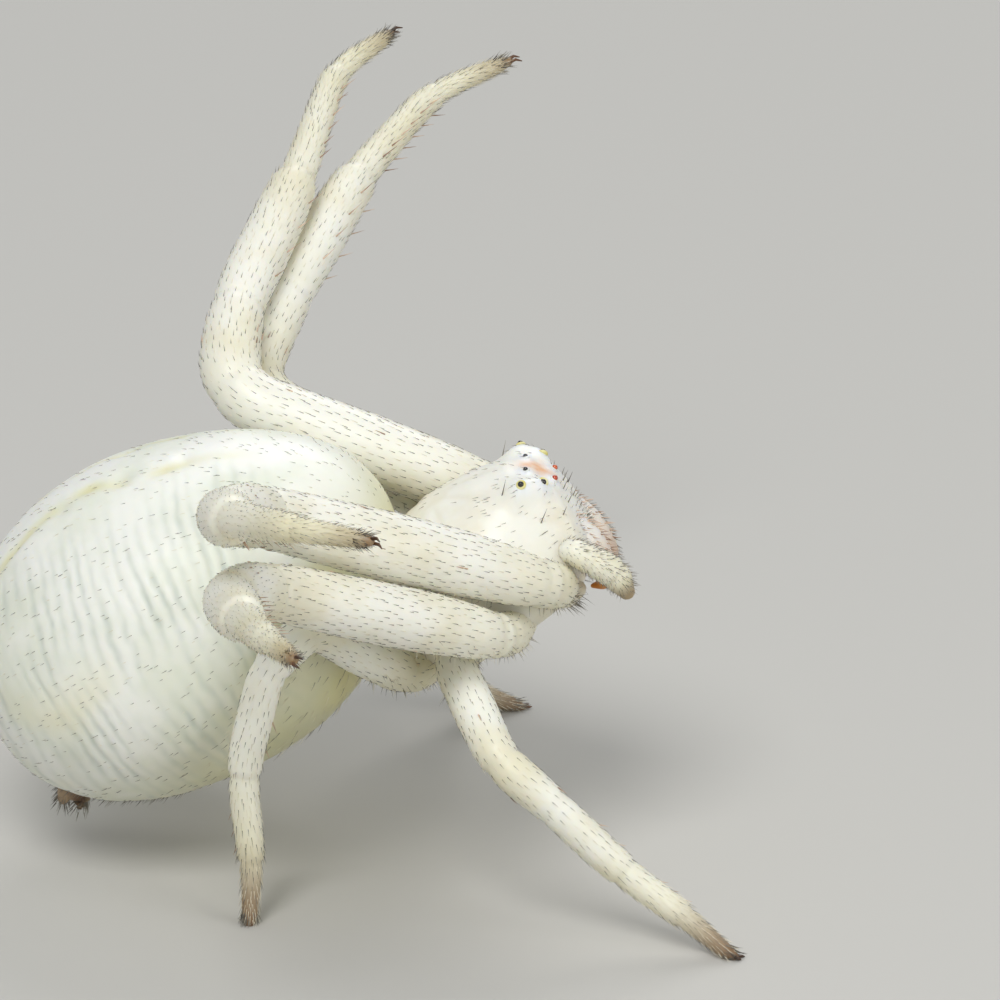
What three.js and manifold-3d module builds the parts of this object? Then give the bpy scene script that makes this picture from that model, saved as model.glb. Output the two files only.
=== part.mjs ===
// White crab spider, life size: a still model of an adult female with her front legs raised.
// Millimetres, +X towards the head, +Y towards the spider's left, +Z up, standing on z = 0.
import * as THREE from "three";
import { mergeVertices } from "three/addons/utils/BufferGeometryUtils.js";
import Module from "manifold-3d";

const wasm = await Module();
wasm.setup();

// Clearances between neighbouring pieces of skin.
const JOINT_GAP = 0.16;
const SOCKET_GAP = 0.12;
const EYE_GAP = 0.05;

// Head end: the cephalothorax leans back, so its own axes are turned nose up.
const HEAD_PITCH = 28;
const HEAD_CENTRE = [0, 0, 4.32];
const HEAD_REAR = -2.15;
const HEAD_FRONT = 1.75;
const HEAD_RINGS = 18;
const HEAD_SIDES = 30;

// Abdomen: an egg wider behind its middle, carried at nearly the same slope.
const ABDOMEN_CENTRE = [-4.99, 0, 3.89];
const ABDOMEN_PITCH = 28.9;
const ABDOMEN_HALF_LENGTH = 3.64;
const ABDOMEN_HALF_WIDTH = 2.92;
const ABDOMEN_HALF_HEIGHT = 2.71;
const ABDOMEN_FULLNESS = 0.028;
const ABDOMEN_REAR_SPREAD = 0.1;

// Distance from the floor to the middle of a standing foot, and the floor's trimming box.
const FOOT_HEIGHT = 0.01;
const FLOOR_BOX = 60;
const FINEST_DETAIL = 0.008;
const SHELL_DETAIL = 0.02;

// Moves the whole animal so that the middle of its bounds is over the origin.
const CENTRE_SHIFT = [2.35, 1.55];

const LIMB_SIDES = 12;
const STATIONS = [0, 0.12, 0.3, 0.55, 0.8, 0.93];
const SHORT_STATIONS = [0, 0.3, 0.65];
const CORNER_SHARE = 0.44;
const CORNER_REACH = 0.85;

// Lengths of coxa, femur, patella, tibia, metatarsus and tarsus of the four pairs of legs.
const SEGMENTS = {
  1: [1.12, 5.34, 1.8, 3, 2.5, 1.35],
  2: [1.66, 4.85, 1.8, 2.9, 2.45, 1.35],
  3: [1.17, 2.4, 1.1, 1.5, 1.2, 1.0],
  4: [1.03, 2.45, 0.95, 1.85, 1.42, 1.0],
};

// Radius along a leg: [segment number + fraction of it, radius].
const THICKNESS = {
  1: [[0, 0.34], [0.5, 0.37], [0.92, 0.38], [1.04, 0.39], [1.12, 0.45], [1.3, 0.52], [1.55, 0.54],
    [1.85, 0.5], [2, 0.48], [2.3, 0.5], [2.8, 0.46], [3, 0.42], [3.3, 0.45], [3.7, 0.43],
    [3.93, 0.38], [4.03, 0.29], [4.5, 0.26], [4.93, 0.24], [5, 0.2], [5.5, 0.17], [5.85, 0.14], [6, 0.09]],
  2: [[0, 0.32], [0.5, 0.34], [0.92, 0.35], [1.04, 0.37], [1.12, 0.43], [1.3, 0.48], [1.55, 0.49],
    [1.85, 0.46], [2, 0.44], [2.3, 0.46], [2.8, 0.43], [3, 0.4], [3.3, 0.42], [3.7, 0.4],
    [3.93, 0.36], [4.03, 0.28], [4.5, 0.26], [4.93, 0.24], [5, 0.2], [5.5, 0.17], [5.85, 0.14], [6, 0.09]],
  3: [[0, 0.3], [0.5, 0.33], [0.92, 0.33], [1.04, 0.32], [1.15, 0.34], [1.5, 0.35], [1.85, 0.33],
    [2, 0.31], [2.4, 0.32], [2.9, 0.29], [3.1, 0.28], [3.6, 0.28], [3.93, 0.26],
    [4.03, 0.25], [4.5, 0.25], [4.93, 0.23], [5, 0.19], [5.5, 0.16], [5.85, 0.14], [6, 0.11]],
  4: [[0, 0.3], [0.5, 0.34], [0.92, 0.34], [1.04, 0.33], [1.15, 0.34], [1.5, 0.37], [1.85, 0.34],
    [2, 0.32], [2.4, 0.33], [2.9, 0.3], [3.1, 0.29], [3.6, 0.29], [3.93, 0.27],
    [4.03, 0.25], [4.5, 0.25], [4.93, 0.23], [5, 0.19], [5.5, 0.16], [5.85, 0.14], [6, 0.11]],
};

// Hip in the head's own axes: forward, outward, up.
const HIPS = {
  1: [0.9, 0.62, -0.22],
  2: [0.05, 0.7, -0.45],
  3: [-0.65, 0.68, -0.45],
  4: [-1.35, 0.52, -0.38],
};

// Direction of each segment in degrees: turn from straight ahead outwards, then rise.
const POSES = {
  right_1: [[97, 20], [154.5, 21.5], [106.8, 18.8], [86.9, 19.1], [66.4, 15.5], [30.1, 2.1]],
  right_2: [[97, 12], [145.5, 21.5], [106.5, 15.5], [83.8, 14.2], [79.7, 13.3], [71.7, 7.5]],
  right_3: [[112, 8], [70, -23], [18, -36], [6, -44], [22, -30], [25, -28]],
  right_4: [[116, -1], [137, 34], [150, -35], [200, -76], [60, -77], [100, -60]],
  left_1: [[105, 20], [171.5, 19.2], [87.2, 28.6], [68.9, 26.9], [74.2, 28.8], [46.3, 14.9]],
  left_2: [[100, 12], [158.5, 24], [61.1, 39], [65.4, 24.8], [57.1, 20.2], [13.8, 18.8]],
  left_3: [[114, 8], [105, -2], [80, -42], [50, -70], [22, -65], [20, -24]],
  left_4: [[116, -1], [132, 12], [150, -22], [160, -50], [162, -58], [160, -45]],
};

// Cephalothorax: half width, top and underside along the head's own axis.
const HEAD_WIDTH = [[-2.15, 0.5], [-1.9, 0.85], [-1.4, 1.35], [-0.8, 1.62], [-0.1, 1.7], [0.6, 1.55],
  [1.1, 1.25], [1.45, 1.06], [1.75, 0.9]];
const HEAD_TOP = [[-2.15, 0.35], [-1.9, 0.65], [-1.5, 1.2], [-1, 1.62], [-0.4, 1.8], [0.4, 1.84],
  [1, 1.76], [1.35, 1.58], [1.6, 1.25], [1.75, 0.85]];
const HEAD_UNDER = [[-2.15, -0.05], [-1.8, -0.45], [-1.2, -0.68], [0, -0.74], [0.9, -0.6], [1.3, -0.3],
  [1.75, 0.1]];
const HEAD_EDGE = 0.3;
// Height at which the carapace above parts from the sternum below.
const HEAD_CUT = -0.14;

// Chelicerae, fangs, palps and endites, as points along the right or left one in the head's axes.
const CHELICERA_PATH = [[1.3, 0.42, 0.64], [1.54, 0.42, 0.14], [1.66, 0.39, -0.4]];
const CHELICERA_RADII = [0.34, 0.36, 0.35, 0.3, 0.22];
const FANG_PATH = [[1.64, 0.37, -0.57], [1.5, 0.34, -0.63], [1.32, 0.25, -0.61]];
const FANG_RADII = [0.1, 0.095, 0.05];
const PALP_PATHS = {
  right: [[1.25, 0.92, 0.38], [1.43, 1.1, 0.36], [1.65, 1.16, 0.07], [1.86, 1.12, -0.27], [1.87, 1.02, -0.68]],
  left: [[1.28, 0.93, 0.36], [1.4, 1.08, 0.32], [1.52, 1.12, -0.02], [1.57, 1.04, -0.42], [1.52, 0.9, -0.8]],
};
const PALP_RADII = [0.12, 0.18, 0.21, 0.22, 0.24, 0.25, 0.22, 0.14];
const ENDITE_PATH = [[0.62, 0.42, -0.45], [0.86, 0.38, -0.52], [1.08, 0.3, -0.53]];
const ENDITE_RADII = [0.14, 0.19, 0.15];
const LABIUM_PATH = [[0.6, 0, -0.55], [0.98, 0, -0.6]];
const LABIUM_RADII = [0.2, 0.17];

// Eyes: tubercle centre and radius, direction in which the eye looks, and the eye's own radius.
const EYES = {
  anterior_median: { mount: [1.5, 0.22, 1.2], swell: 0.16, look: [1, 0.15, 0.5], radius: 0.065 },
  anterior_lateral: { mount: [1.38, 0.6, 1.34], swell: 0.2, look: [0.75, 0.5, 0.55], radius: 0.08 },
  posterior_median: { mount: [1.27, 0.28, 1.5], swell: 0.15, look: [0.25, 0.2, 1], radius: 0.065 },
  posterior_lateral: { mount: [1.19, 0.76, 1.49], swell: 0.26, look: [0.15, 0.75, 0.65], radius: 0.08 },
};
const EYE_SINK = 0.02;

// Spinnerets: a low cone with two pairs of short stubs, under the rear of the abdomen.
const SPINNERET_BASE = [-2.92, 0, -1.68];
const SPINNERET_AIM = [-0.72, 0, -0.69];
const SPINNERET_SWELL = 0.36;
const SPINNERET_STUBS = [[0.15, 0.14], [-0.14, 0.13]];
const SPINNERET_RADII = [0.15, 0.13, 0.07];
const SPINNERET_LENGTH = 0.62;

// Colours of the pieces.
const SKIN = { color: 0xe9e9dc, roughness: 0.42, metalness: 0 };
const BELLY = { color: 0xd9d6a8, roughness: 0.45, metalness: 0 };
const HORN = { color: 0xa8683c, roughness: 0.4, metalness: 0 };
const EYE = { color: 0x1a1612, roughness: 0.15, metalness: 0 };

const root = new THREE.Group();
root.name = "crab_spider";

const vec = (p) => new THREE.Vector3(p[0], p[1], p[2]);
const radians = THREE.MathUtils.degToRad;

function direction([turn, rise], side) {
  const a = radians(turn);
  const e = radians(rise);
  return new THREE.Vector3(Math.cos(e) * Math.cos(a), side * Math.cos(e) * Math.sin(a), Math.sin(e));
}

// A point or geometry given in axes that lean back by some degrees about a centre.
function leaning(centre, pitch) {
  const turn = new THREE.Matrix4().makeRotationY(-radians(pitch));
  return new THREE.Matrix4().makeTranslation(centre[0], centre[1], centre[2]).multiply(turn);
}

const headFrame = leaning(HEAD_CENTRE, HEAD_PITCH);
const abdomenFrame = leaning(ABDOMEN_CENTRE, ABDOMEN_PITCH);
const inHead = (x, y, z) => new THREE.Vector3(x, y, z).applyMatrix4(headFrame);
const inAbdomen = (x, y, z) => new THREE.Vector3(x, y, z).applyMatrix4(abdomenFrame);

// Joins the seam and poles of a turned shape into one closed skin.
function welded(geometry) {
  const bare = geometry.clone();
  bare.deleteAttribute("normal");
  bare.deleteAttribute("uv");
  const joined = mergeVertices(bare, 1e-3);
  const index = joined.index.array;
  const kept = [];
  for (let i = 0; i < index.length; i += 3) {
    const [a, b, c] = [index[i], index[i + 1], index[i + 2]];
    if (a !== b && b !== c && c !== a) kept.push(a, b, c);
  }
  joined.setIndex(kept);
  return joined;
}

function solid(geometry) {
  const shape = welded(geometry);
  return new wasm.Manifold(new wasm.Mesh({
    numProp: 3,
    vertProperties: Float32Array.from(shape.attributes.position.array),
    triVerts: Uint32Array.from(shape.index.array),
  }));
}

// The largest closed body of a solid, as a geometry, without faces finer than the set detail.
function skinOf(body, detail = FINEST_DETAIL) {
  const pieces = body.simplify(detail).decompose();
  pieces.sort((a, b) => b.volume() - a.volume());
  const mesh = pieces[0].getMesh();
  const shape = new THREE.BufferGeometry();
  shape.setAttribute("position", new THREE.BufferAttribute(Float32Array.from(mesh.vertProperties), 3));
  shape.setIndex(Array.from(mesh.triVerts));
  return shape;
}

function piece(name, geometry, look) {
  const mesh = new THREE.Mesh(geometry, new THREE.MeshStandardMaterial(look));
  mesh.name = name;
  root.add(mesh);
  return mesh;
}

function blend(table, at) {
  if (at <= table[0][0]) return table[0][1];
  for (let i = 1; i < table.length; i += 1) {
    const [q1, r1] = table[i];
    if (at <= q1) {
      const [q0, r0] = table[i - 1];
      return r0 + ((r1 - r0) * (at - q0)) / (q1 - q0);
    }
  }
  return table[table.length - 1][1];
}

// The centre line of a limb: straight runs joined by rounded corners, with the arc length of each joint.
function centreLine(points) {
  const path = new THREE.CurvePath();
  const marks = [0];
  let start = points[0];
  for (let i = 1; i < points.length - 1; i += 1) {
    const before = points[i].clone().sub(points[i - 1]);
    const after = points[i + 1].clone().sub(points[i]);
    const reach = Math.min(CORNER_REACH, CORNER_SHARE * before.length(), CORNER_SHARE * after.length());
    const into = points[i].clone().addScaledVector(before.normalize(), -reach);
    const out = points[i].clone().addScaledVector(after.normalize(), reach);
    path.add(new THREE.LineCurve3(start, into));
    const bend = new THREE.QuadraticBezierCurve3(into, points[i], out);
    path.add(bend);
    const lengths = path.getCurveLengths();
    marks.push(lengths[lengths.length - 1] - bend.getLength() / 2);
    start = out;
  }
  path.add(new THREE.LineCurve3(start, points[points.length - 1]));
  marks.push(path.getLength());
  return { path, marks, length: path.getLength() };
}

// Bends a turned bar, standing on the Y axis, so that its height runs along the centre line.
function bent(bar, line) {
  const position = bar.attributes.position;
  const heights = [...new Set(Array.from({ length: position.count }, (_, i) => position.getY(i)))];
  heights.sort((a, b) => a - b);
  const frames = new Map();
  let tangent = null;
  const across = new THREE.Vector3(0, 0, 1);
  for (const height of heights) {
    const t = THREE.MathUtils.clamp(height / line.length, 0, 1);
    const next = line.path.getTangent(t).normalize();
    if (tangent) across.applyQuaternion(new THREE.Quaternion().setFromUnitVectors(tangent, next));
    across.addScaledVector(next, -across.dot(next)).normalize();
    const middle = line.path.getPoint(t).addScaledVector(next, height - t * line.length);
    frames.set(height, [middle, across.clone(), next.clone().cross(across)]);
    tangent = next;
  }
  for (let i = 0; i < position.count; i += 1) {
    const [middle, side, other] = frames.get(position.getY(i));
    const spot = middle.clone();
    spot.addScaledVector(side, position.getX(i)).addScaledVector(other, -position.getZ(i));
    position.setXYZ(i, spot.x, spot.y, spot.z);
  }
  return bar;
}

// One stretch of a leg, from one place along its segments to another.
function stretch(line, table, from, to, trim, grow, sides, stations = STATIONS) {
  const whole = Math.floor;
  const along = (q) => {
    const i = Math.min(whole(q), line.marks.length - 2);
    return line.marks[i] + (line.marks[i + 1] - line.marks[i]) * (q - i);
  };
  const start = along(from) + trim[0];
  const end = along(to) - trim[1];
  const rings = [start];
  for (let i = whole(from); i < to; i += 1) {
    for (const share of stations) {
      const s = along(i + share);
      if (s > start + 0.04 && s < end - 0.04) rings.push(s);
    }
  }
  rings.push(end);
  const at = (s) => {
    let i = 0;
    while (i < line.marks.length - 2 && s > line.marks[i + 1]) i += 1;
    return i + (s - line.marks[i]) / (line.marks[i + 1] - line.marks[i]);
  };
  const profile = [new THREE.Vector2(0, start)];
  for (const s of rings) profile.push(new THREE.Vector2(blend(table, at(s)) + grow, s));
  profile.push(new THREE.Vector2(0, end));
  return bent(new THREE.LatheGeometry(profile, sides), line);
}

function legPoints(name) {
  const side = name.startsWith("left") ? 1 : -1;
  const pair = Number(name.slice(-1));
  const hip = HIPS[pair];
  const points = [inHead(hip[0], side * hip[1], hip[2])];
  POSES[name].forEach((turn, i) => {
    const last = points[points.length - 1];
    const length = SEGMENTS[pair][i];
    let aim = turn;
    if (pair > 2 && i === 5) {
      aim = [turn[0], -THREE.MathUtils.radToDeg(Math.asin((last.z - FOOT_HEIGHT) / length))];
    }
    points.push(last.clone().addScaledVector(direction(aim, side), length));
  });
  return points;
}

const roomAbove = new THREE.BoxGeometry(FLOOR_BOX, FLOOR_BOX, FLOOR_BOX).translate(0, 0, FLOOR_BOX / 2);
const aboveFloor = solid(roomAbove);

const half = JOINT_GAP / 2;
const hollows = [];
for (const name of Object.keys(POSES)) {
  const pair = Number(name.slice(-1));
  const line = centreLine(legPoints(name));
  const table = THICKNESS[pair];
  const cut = (from, to, trim) => welded(stretch(line, table, from, to, trim, 0, LIMB_SIDES));
  piece(`leg_${name}_coxa`, cut(0, 1, [0, half]), SKIN);
  piece(`leg_${name}_femur`, cut(1, 2, [half, half]), SKIN);
  piece(`leg_${name}_tibia`, cut(2, 4, [half, half]), SKIN);
  const foot = cut(4, 6, [half, 0]);
  piece(`leg_${name}_foot`, pair > 2 ? skinOf(solid(foot).intersect(aboveFloor)) : foot, SKIN);
  hollows.push(solid(stretch(line, table, 0, 2, [-SOCKET_GAP, half], SOCKET_GAP, LIMB_SIDES)));
}

function headShell() {
  const rings = [];
  for (let i = 0; i <= HEAD_RINGS; i += 1) {
    const share = (1 - Math.cos((Math.PI * i) / HEAD_RINGS)) / 2;
    rings.push(HEAD_REAR + (HEAD_FRONT - HEAD_REAR) * share);
  }
  const profile = [new THREE.Vector2(0, rings[0])];
  for (const x of rings) profile.push(new THREE.Vector2(1, x));
  profile.push(new THREE.Vector2(0, rings[rings.length - 1]));
  const shell = new THREE.LatheGeometry(profile, HEAD_SIDES);
  const position = shell.attributes.position;
  for (let i = 0; i < position.count; i += 1) {
    const x = position.getY(i);
    const radius = Math.hypot(position.getX(i), position.getZ(i));
    const angle = Math.atan2(position.getX(i), position.getZ(i));
    const rise = Math.cos(angle);
    const width = blend(HEAD_WIDTH, x);
    const top = blend(HEAD_TOP, x);
    const under = blend(HEAD_UNDER, x);
    const edge = under + (top - under) * HEAD_EDGE;
    const across = Math.sign(Math.sin(angle)) * Math.abs(Math.sin(angle)) ** 0.9;
    const up = rise > 0 ? edge + (top - edge) * rise ** 0.9 : edge + (edge - under) * rise;
    position.setXYZ(i, x, -radius * across * width, radius > 0 ? up : edge);
  }
  return shell.applyMatrix4(headFrame);
}

// Abdomen in its own axes, a little squarer in profile than an egg.
function abdomenShell(grow) {
  const shell = new THREE.SphereGeometry(1, 36, 24);
  const position = shell.attributes.position;
  for (let i = 0; i < position.count; i += 1) {
    const [x, z, y] = [position.getX(i), position.getY(i), -position.getZ(i)];
    const angle = THREE.MathUtils.radToDeg(Math.atan2(z, x));
    const profile = Math.hypot(x, z);
    const turned = angle < -68 ? angle + 360 : angle;
    const full = 1 + ABDOMEN_FULLNESS * profile * Math.cos(3.4 * radians(turned - 11));
    const spread = 1 - ABDOMEN_REAR_SPREAD * x;
    position.setXYZ(i, x * full * ABDOMEN_HALF_LENGTH * grow,
      y * spread * ABDOMEN_HALF_WIDTH * grow, z * full * ABDOMEN_HALF_HEIGHT * grow);
  }
  return shell.applyMatrix4(abdomenFrame);
}

// A short tapered limb through a few points, with its radii, in one bent bar.
function taper(points, radii, sides, grow = 0, reach = 0) {
  const line = centreLine(points);
  const table = radii.map((r, i) => [(i * (points.length - 1)) / (radii.length - 1), r]);
  const shape = stretch(line, table, 0, points.length - 1, [-reach, -reach], grow, sides, SHORT_STATIONS);
  return shape;
}

const mirrored = (path, side) => path.map(([x, y, z]) => inHead(x, side * y, z));

const stub = (points, radii, sides, grow = 0) => solid(taper(points, radii, sides, grow, grow));
const ball = (centre, radius, rings) => (
  solid(new THREE.SphereGeometry(radius, rings, rings / 2).translate(centre.x, centre.y, centre.z)));

let head = solid(headShell());
let mouth = stub(mirrored(LABIUM_PATH, 1), LABIUM_RADII, 12);
let mouthHollow = stub(mirrored(LABIUM_PATH, 1), LABIUM_RADII, 12, SOCKET_GAP);
for (const side of [-1, 1]) {
  const name = side < 0 ? "right" : "left";
  const chelicera = mirrored(CHELICERA_PATH, side);
  piece(`chelicera_${name}`, skinOf(stub(chelicera, CHELICERA_RADII, 16)), SKIN);
  hollows.push(stub(chelicera, CHELICERA_RADII, 16, SOCKET_GAP));
  piece(`fang_${name}`, skinOf(stub(mirrored(FANG_PATH, side), FANG_RADII, 8)), HORN);
  const palp = mirrored(PALP_PATHS[name], side);
  piece(`palp_${name}`, skinOf(stub(palp, PALP_RADII, 10)), SKIN);
  hollows.push(stub(palp, PALP_RADII, 10, SOCKET_GAP));
  mouth = mouth.add(stub(mirrored(ENDITE_PATH, side), ENDITE_RADII, 10));
  mouthHollow = mouthHollow.add(stub(mirrored(ENDITE_PATH, side), ENDITE_RADII, 10, SOCKET_GAP));
  for (const [eye, { mount, swell, look, radius }] of Object.entries(EYES)) {
    const aim = new THREE.Vector3(look[0], side * look[1], look[2]).normalize();
    const centre = new THREE.Vector3(mount[0], side * mount[1], mount[2]);
    head = head.add(ball(inHead(centre.x, centre.y, centre.z), swell, 16));
    const seat = centre.addScaledVector(aim, swell - EYE_SINK);
    const spot = inHead(seat.x, seat.y, seat.z);
    piece(`eye_${eye}_${name}`, skinOf(ball(spot, radius, 12)), EYE);
    hollows.push(ball(spot, radius + EYE_GAP, 12));
  }
}
hollows.push(mouthHollow);
piece("mouthparts", skinOf(mouth), BELLY);

const abdomenHollow = solid(abdomenShell(1 + SOCKET_GAP / ABDOMEN_HALF_HEIGHT));
hollows.push(abdomenHollow);
for (const hollow of hollows) head = head.subtract(hollow);
const up = inHead(0, 0, 1).sub(inHead(0, 0, 0));
const waist = inHead(0, 0, HEAD_CUT).dot(up);
piece("carapace", skinOf(head.trimByPlane(up.toArray(), waist + SOCKET_GAP / 2), SHELL_DETAIL), SKIN);
const down = up.clone().negate();
piece("sternum", skinOf(head.trimByPlane(down.toArray(), -waist + SOCKET_GAP / 2), SHELL_DETAIL), BELLY);
piece("abdomen", welded(abdomenShell(1)), SKIN);

const base = vec(SPINNERET_BASE);
const rearward = vec(SPINNERET_AIM).normalize();
let spinnerets = ball(inAbdomen(...SPINNERET_BASE), SPINNERET_SWELL, 16);
for (const [rise, spread] of SPINNERET_STUBS) {
  for (const side of [-1, 1]) {
    const offset = new THREE.Vector3(-rearward.z * rise, side * spread, rearward.x * rise).add(base);
    const tip = offset.clone().addScaledVector(rearward, SPINNERET_LENGTH);
    const ends = [offset, tip].map((p) => inAbdomen(p.x, p.y, p.z));
    spinnerets = spinnerets.add(stub(ends, SPINNERET_RADII, 10));
  }
}
piece("spinnerets", skinOf(spinnerets.subtract(abdomenHollow)), HORN);

for (const mesh of root.children) mesh.geometry.translate(CENTRE_SHIFT[0], CENTRE_SHIFT[1], 0);
export default root;
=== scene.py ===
"""White crab spider, life size: the skins, setae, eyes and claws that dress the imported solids."""

from __future__ import annotations

import bisect
import logging
import math
import random
from dataclasses import dataclass, field
from enum import Enum

import bmesh
import bpy
import numpy as np
from mathutils import Matrix, Vector, noise


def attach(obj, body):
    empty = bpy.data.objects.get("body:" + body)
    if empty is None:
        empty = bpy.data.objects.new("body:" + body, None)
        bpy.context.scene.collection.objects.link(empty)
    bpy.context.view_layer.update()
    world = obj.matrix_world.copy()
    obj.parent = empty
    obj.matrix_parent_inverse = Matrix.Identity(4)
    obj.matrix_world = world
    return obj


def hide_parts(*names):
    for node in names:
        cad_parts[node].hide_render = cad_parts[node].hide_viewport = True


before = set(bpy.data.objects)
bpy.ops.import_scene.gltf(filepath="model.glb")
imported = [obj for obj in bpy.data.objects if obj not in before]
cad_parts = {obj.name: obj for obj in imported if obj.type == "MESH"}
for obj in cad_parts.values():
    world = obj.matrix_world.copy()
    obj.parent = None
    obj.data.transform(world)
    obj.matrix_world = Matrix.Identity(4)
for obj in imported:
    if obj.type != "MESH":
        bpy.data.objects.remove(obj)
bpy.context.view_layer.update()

logging.basicConfig(level=logging.INFO, format="%(name)s: %(message)s")
log = logging.getLogger("spider")

MM = 0.001
FULL_TURN = 2 * math.pi

# Axes of the head and the abdomen, in millimetres and degrees, shared with the solids.
CENTRE_SHIFT = Vector((2.35, 1.55, 0.0))
HEAD_CENTRE = Vector((0.0, 0.0, 4.32))
HEAD_PITCH = 28.0
ABDOMEN_CENTRE = Vector((-4.99, 0.0, 3.89))
ABDOMEN_PITCH = 28.9
ABDOMEN_HALF = Vector((3.64, 2.92, 2.71))
ABDOMEN_FULLNESS = 0.028
ABDOMEN_REAR_SPREAD = 0.1
FOOT_HEIGHT = 0.01

# A limb's corner is rounded over this share of the runs beside it, up to the reach.
CORNER_SHARE = 0.44
CORNER_REACH = 0.85
CORNER_STEPS = 24

# Leg segments from the coxa outwards, by pair.
SEGMENTS = {
    1: (1.12, 5.34, 1.8, 3.0, 2.5, 1.35),
    2: (1.66, 4.85, 1.8, 2.9, 2.45, 1.35),
    3: (1.17, 2.4, 1.1, 1.5, 1.2, 1.0),
    4: (1.03, 2.45, 0.95, 1.85, 1.42, 1.0),
}
TARSUS = 5

# Radius along a leg: (segment number + fraction of it, radius), from coxa to tarsus.
THICKNESS = {
    1: (
        (0, 0.34), (0.5, 0.37), (0.92, 0.38), (1.04, 0.39), (1.12, 0.45), (1.3, 0.52), (1.55, 0.54),
        (1.85, 0.5), (2, 0.48), (2.3, 0.5), (2.8, 0.46), (3, 0.42), (3.3, 0.45), (3.7, 0.43),
        (3.93, 0.38), (4.03, 0.29), (4.5, 0.25), (4.93, 0.225), (5, 0.19), (5.5, 0.16),
        (5.85, 0.13), (6, 0.08),
    ),
    2: (
        (0, 0.32), (0.5, 0.34), (0.92, 0.35), (1.04, 0.37), (1.12, 0.43), (1.3, 0.48), (1.55, 0.49),
        (1.85, 0.46), (2, 0.44), (2.3, 0.46), (2.8, 0.43), (3, 0.4), (3.3, 0.42), (3.7, 0.4),
        (3.93, 0.36), (4.03, 0.28), (4.5, 0.25), (4.93, 0.225), (5, 0.19), (5.5, 0.16),
        (5.85, 0.13), (6, 0.08),
    ),
    3: (
        (0, 0.3), (0.5, 0.33), (0.92, 0.33), (1.04, 0.32), (1.15, 0.34), (1.5, 0.35), (1.85, 0.33),
        (2, 0.31), (2.4, 0.32), (2.9, 0.29), (3.1, 0.28), (3.6, 0.28), (3.93, 0.26),
        (4.03, 0.24), (4.5, 0.225), (4.93, 0.21), (5, 0.175), (5.5, 0.145), (5.85, 0.12), (6, 0.09),
    ),
    4: (
        (0, 0.3), (0.5, 0.34), (0.92, 0.34), (1.04, 0.33), (1.15, 0.34), (1.5, 0.37), (1.85, 0.34),
        (2, 0.32), (2.4, 0.33), (2.9, 0.3), (3.1, 0.29), (3.6, 0.29), (3.93, 0.27),
        (4.03, 0.24), (4.5, 0.225), (4.93, 0.21), (5, 0.175), (5.5, 0.145), (5.85, 0.12), (6, 0.09),
    ),
}

# Hips in the head's axes: forward, outward, up.
HIPS = {
    1: (0.9, 0.62, -0.22),
    2: (0.05, 0.7, -0.45),
    3: (-0.65, 0.68, -0.45),
    4: (-1.35, 0.52, -0.38),
}


class Side(Enum):
    """A side of the spider, with the sign of its Y axis."""

    RIGHT = -1
    LEFT = 1

    @property
    def word(self) -> str:
        """The side's name as the solids have it."""
        return self.name.lower()

    def spot(self, forward: float, outward: float, up: float) -> Vector:
        """A place or a direction of this side, in the head's axes."""
        return Vector((forward, self.value * outward, up))


def smooth(low: float, high: float, value: float) -> float:
    """A soft step from 0 at low to 1 at high."""
    share = min(1.0, max(0.0, (value - low) / (high - low)))
    return share * share * (3.0 - 2.0 * share)


def bump(distance: float) -> float:
    """A bell curve: 1 at no distance, near 0 past twice the unit."""
    return math.exp(-distance * distance)


def blend(table: tuple, place: float) -> float:
    """Reads a table of (place, value) pairs, with straight runs between them.

    Args:
        table: The pairs, in order of place.
        place: Where to read.

    Returns:
        The value there, held at the table's ends.
    """
    if place <= table[0][0]:
        return table[0][1]
    for (low, first), (high, last) in zip(table, table[1:]):
        if place <= high:
            return first + (last - first) * (place - low) / (high - low)
    return table[-1][1]


def leaning(centre: Vector, pitch: float) -> Matrix:
    """Axes that lean back by pitch degrees about a centre, in the row frame and in millimetres."""
    return Matrix.Translation(centre + CENTRE_SHIFT) @ Matrix.Rotation(-math.radians(pitch), 4, "Y")


HEAD_AXES = leaning(HEAD_CENTRE, HEAD_PITCH)
ABDOMEN_AXES = leaning(ABDOMEN_CENTRE, ABDOMEN_PITCH)


def direction(turn: float, rise: float, side: Side) -> Vector:
    """A unit direction in the row frame.

    Args:
        turn: Degrees outwards from straight ahead.
        rise: Degrees above the level.
        side: The side that it points to.

    Returns:
        The direction.
    """
    a = math.radians(turn)
    e = math.radians(rise)
    return side.spot(math.cos(e) * math.cos(a), math.cos(e) * math.sin(a), math.sin(e))


# Finishes.


def linear(code: str) -> tuple[float, float, float, float]:
    """A colour written as sRGB hex, as the linear values that the shaders take.

    Args:
        code: Six hex digits.

    Returns:
        Red, green, blue and full opacity.
    """
    values = []
    for i in (0, 2, 4):
        v = int(code[i : i + 2], 16) / 255.0
        values.append(v / 12.92 if v <= 0.04045 else ((v + 0.055) / 1.055) ** 2.4)
    return (values[0], values[1], values[2], 1.0)


def add_node(
    tree: bpy.types.NodeTree, kind: str, inputs: dict | None = None, **settings: object
) -> bpy.types.Node:
    """Adds a shader node.

    Args:
        tree: The material's node tree.
        kind: The node's type name.
        inputs: Sockets by name or number, each a value or another node's output socket.
        **settings: Attributes set on the node itself.

    Returns:
        The new node.
    """
    made = tree.nodes.new(kind)
    for name, value in settings.items():
        setattr(made, name, value)
    for name, value in (inputs or {}).items():
        socket = made.inputs[name]
        if isinstance(value, bpy.types.NodeSocket):
            tree.links.new(value, socket)
        else:
            socket.default_value = value
    return made


# Sockets of a Mix node set to colours.
MIX_SHARE = 0
MIX_FIRST = 6
MIX_SECOND = 7
MIX_RESULT = 2


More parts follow.
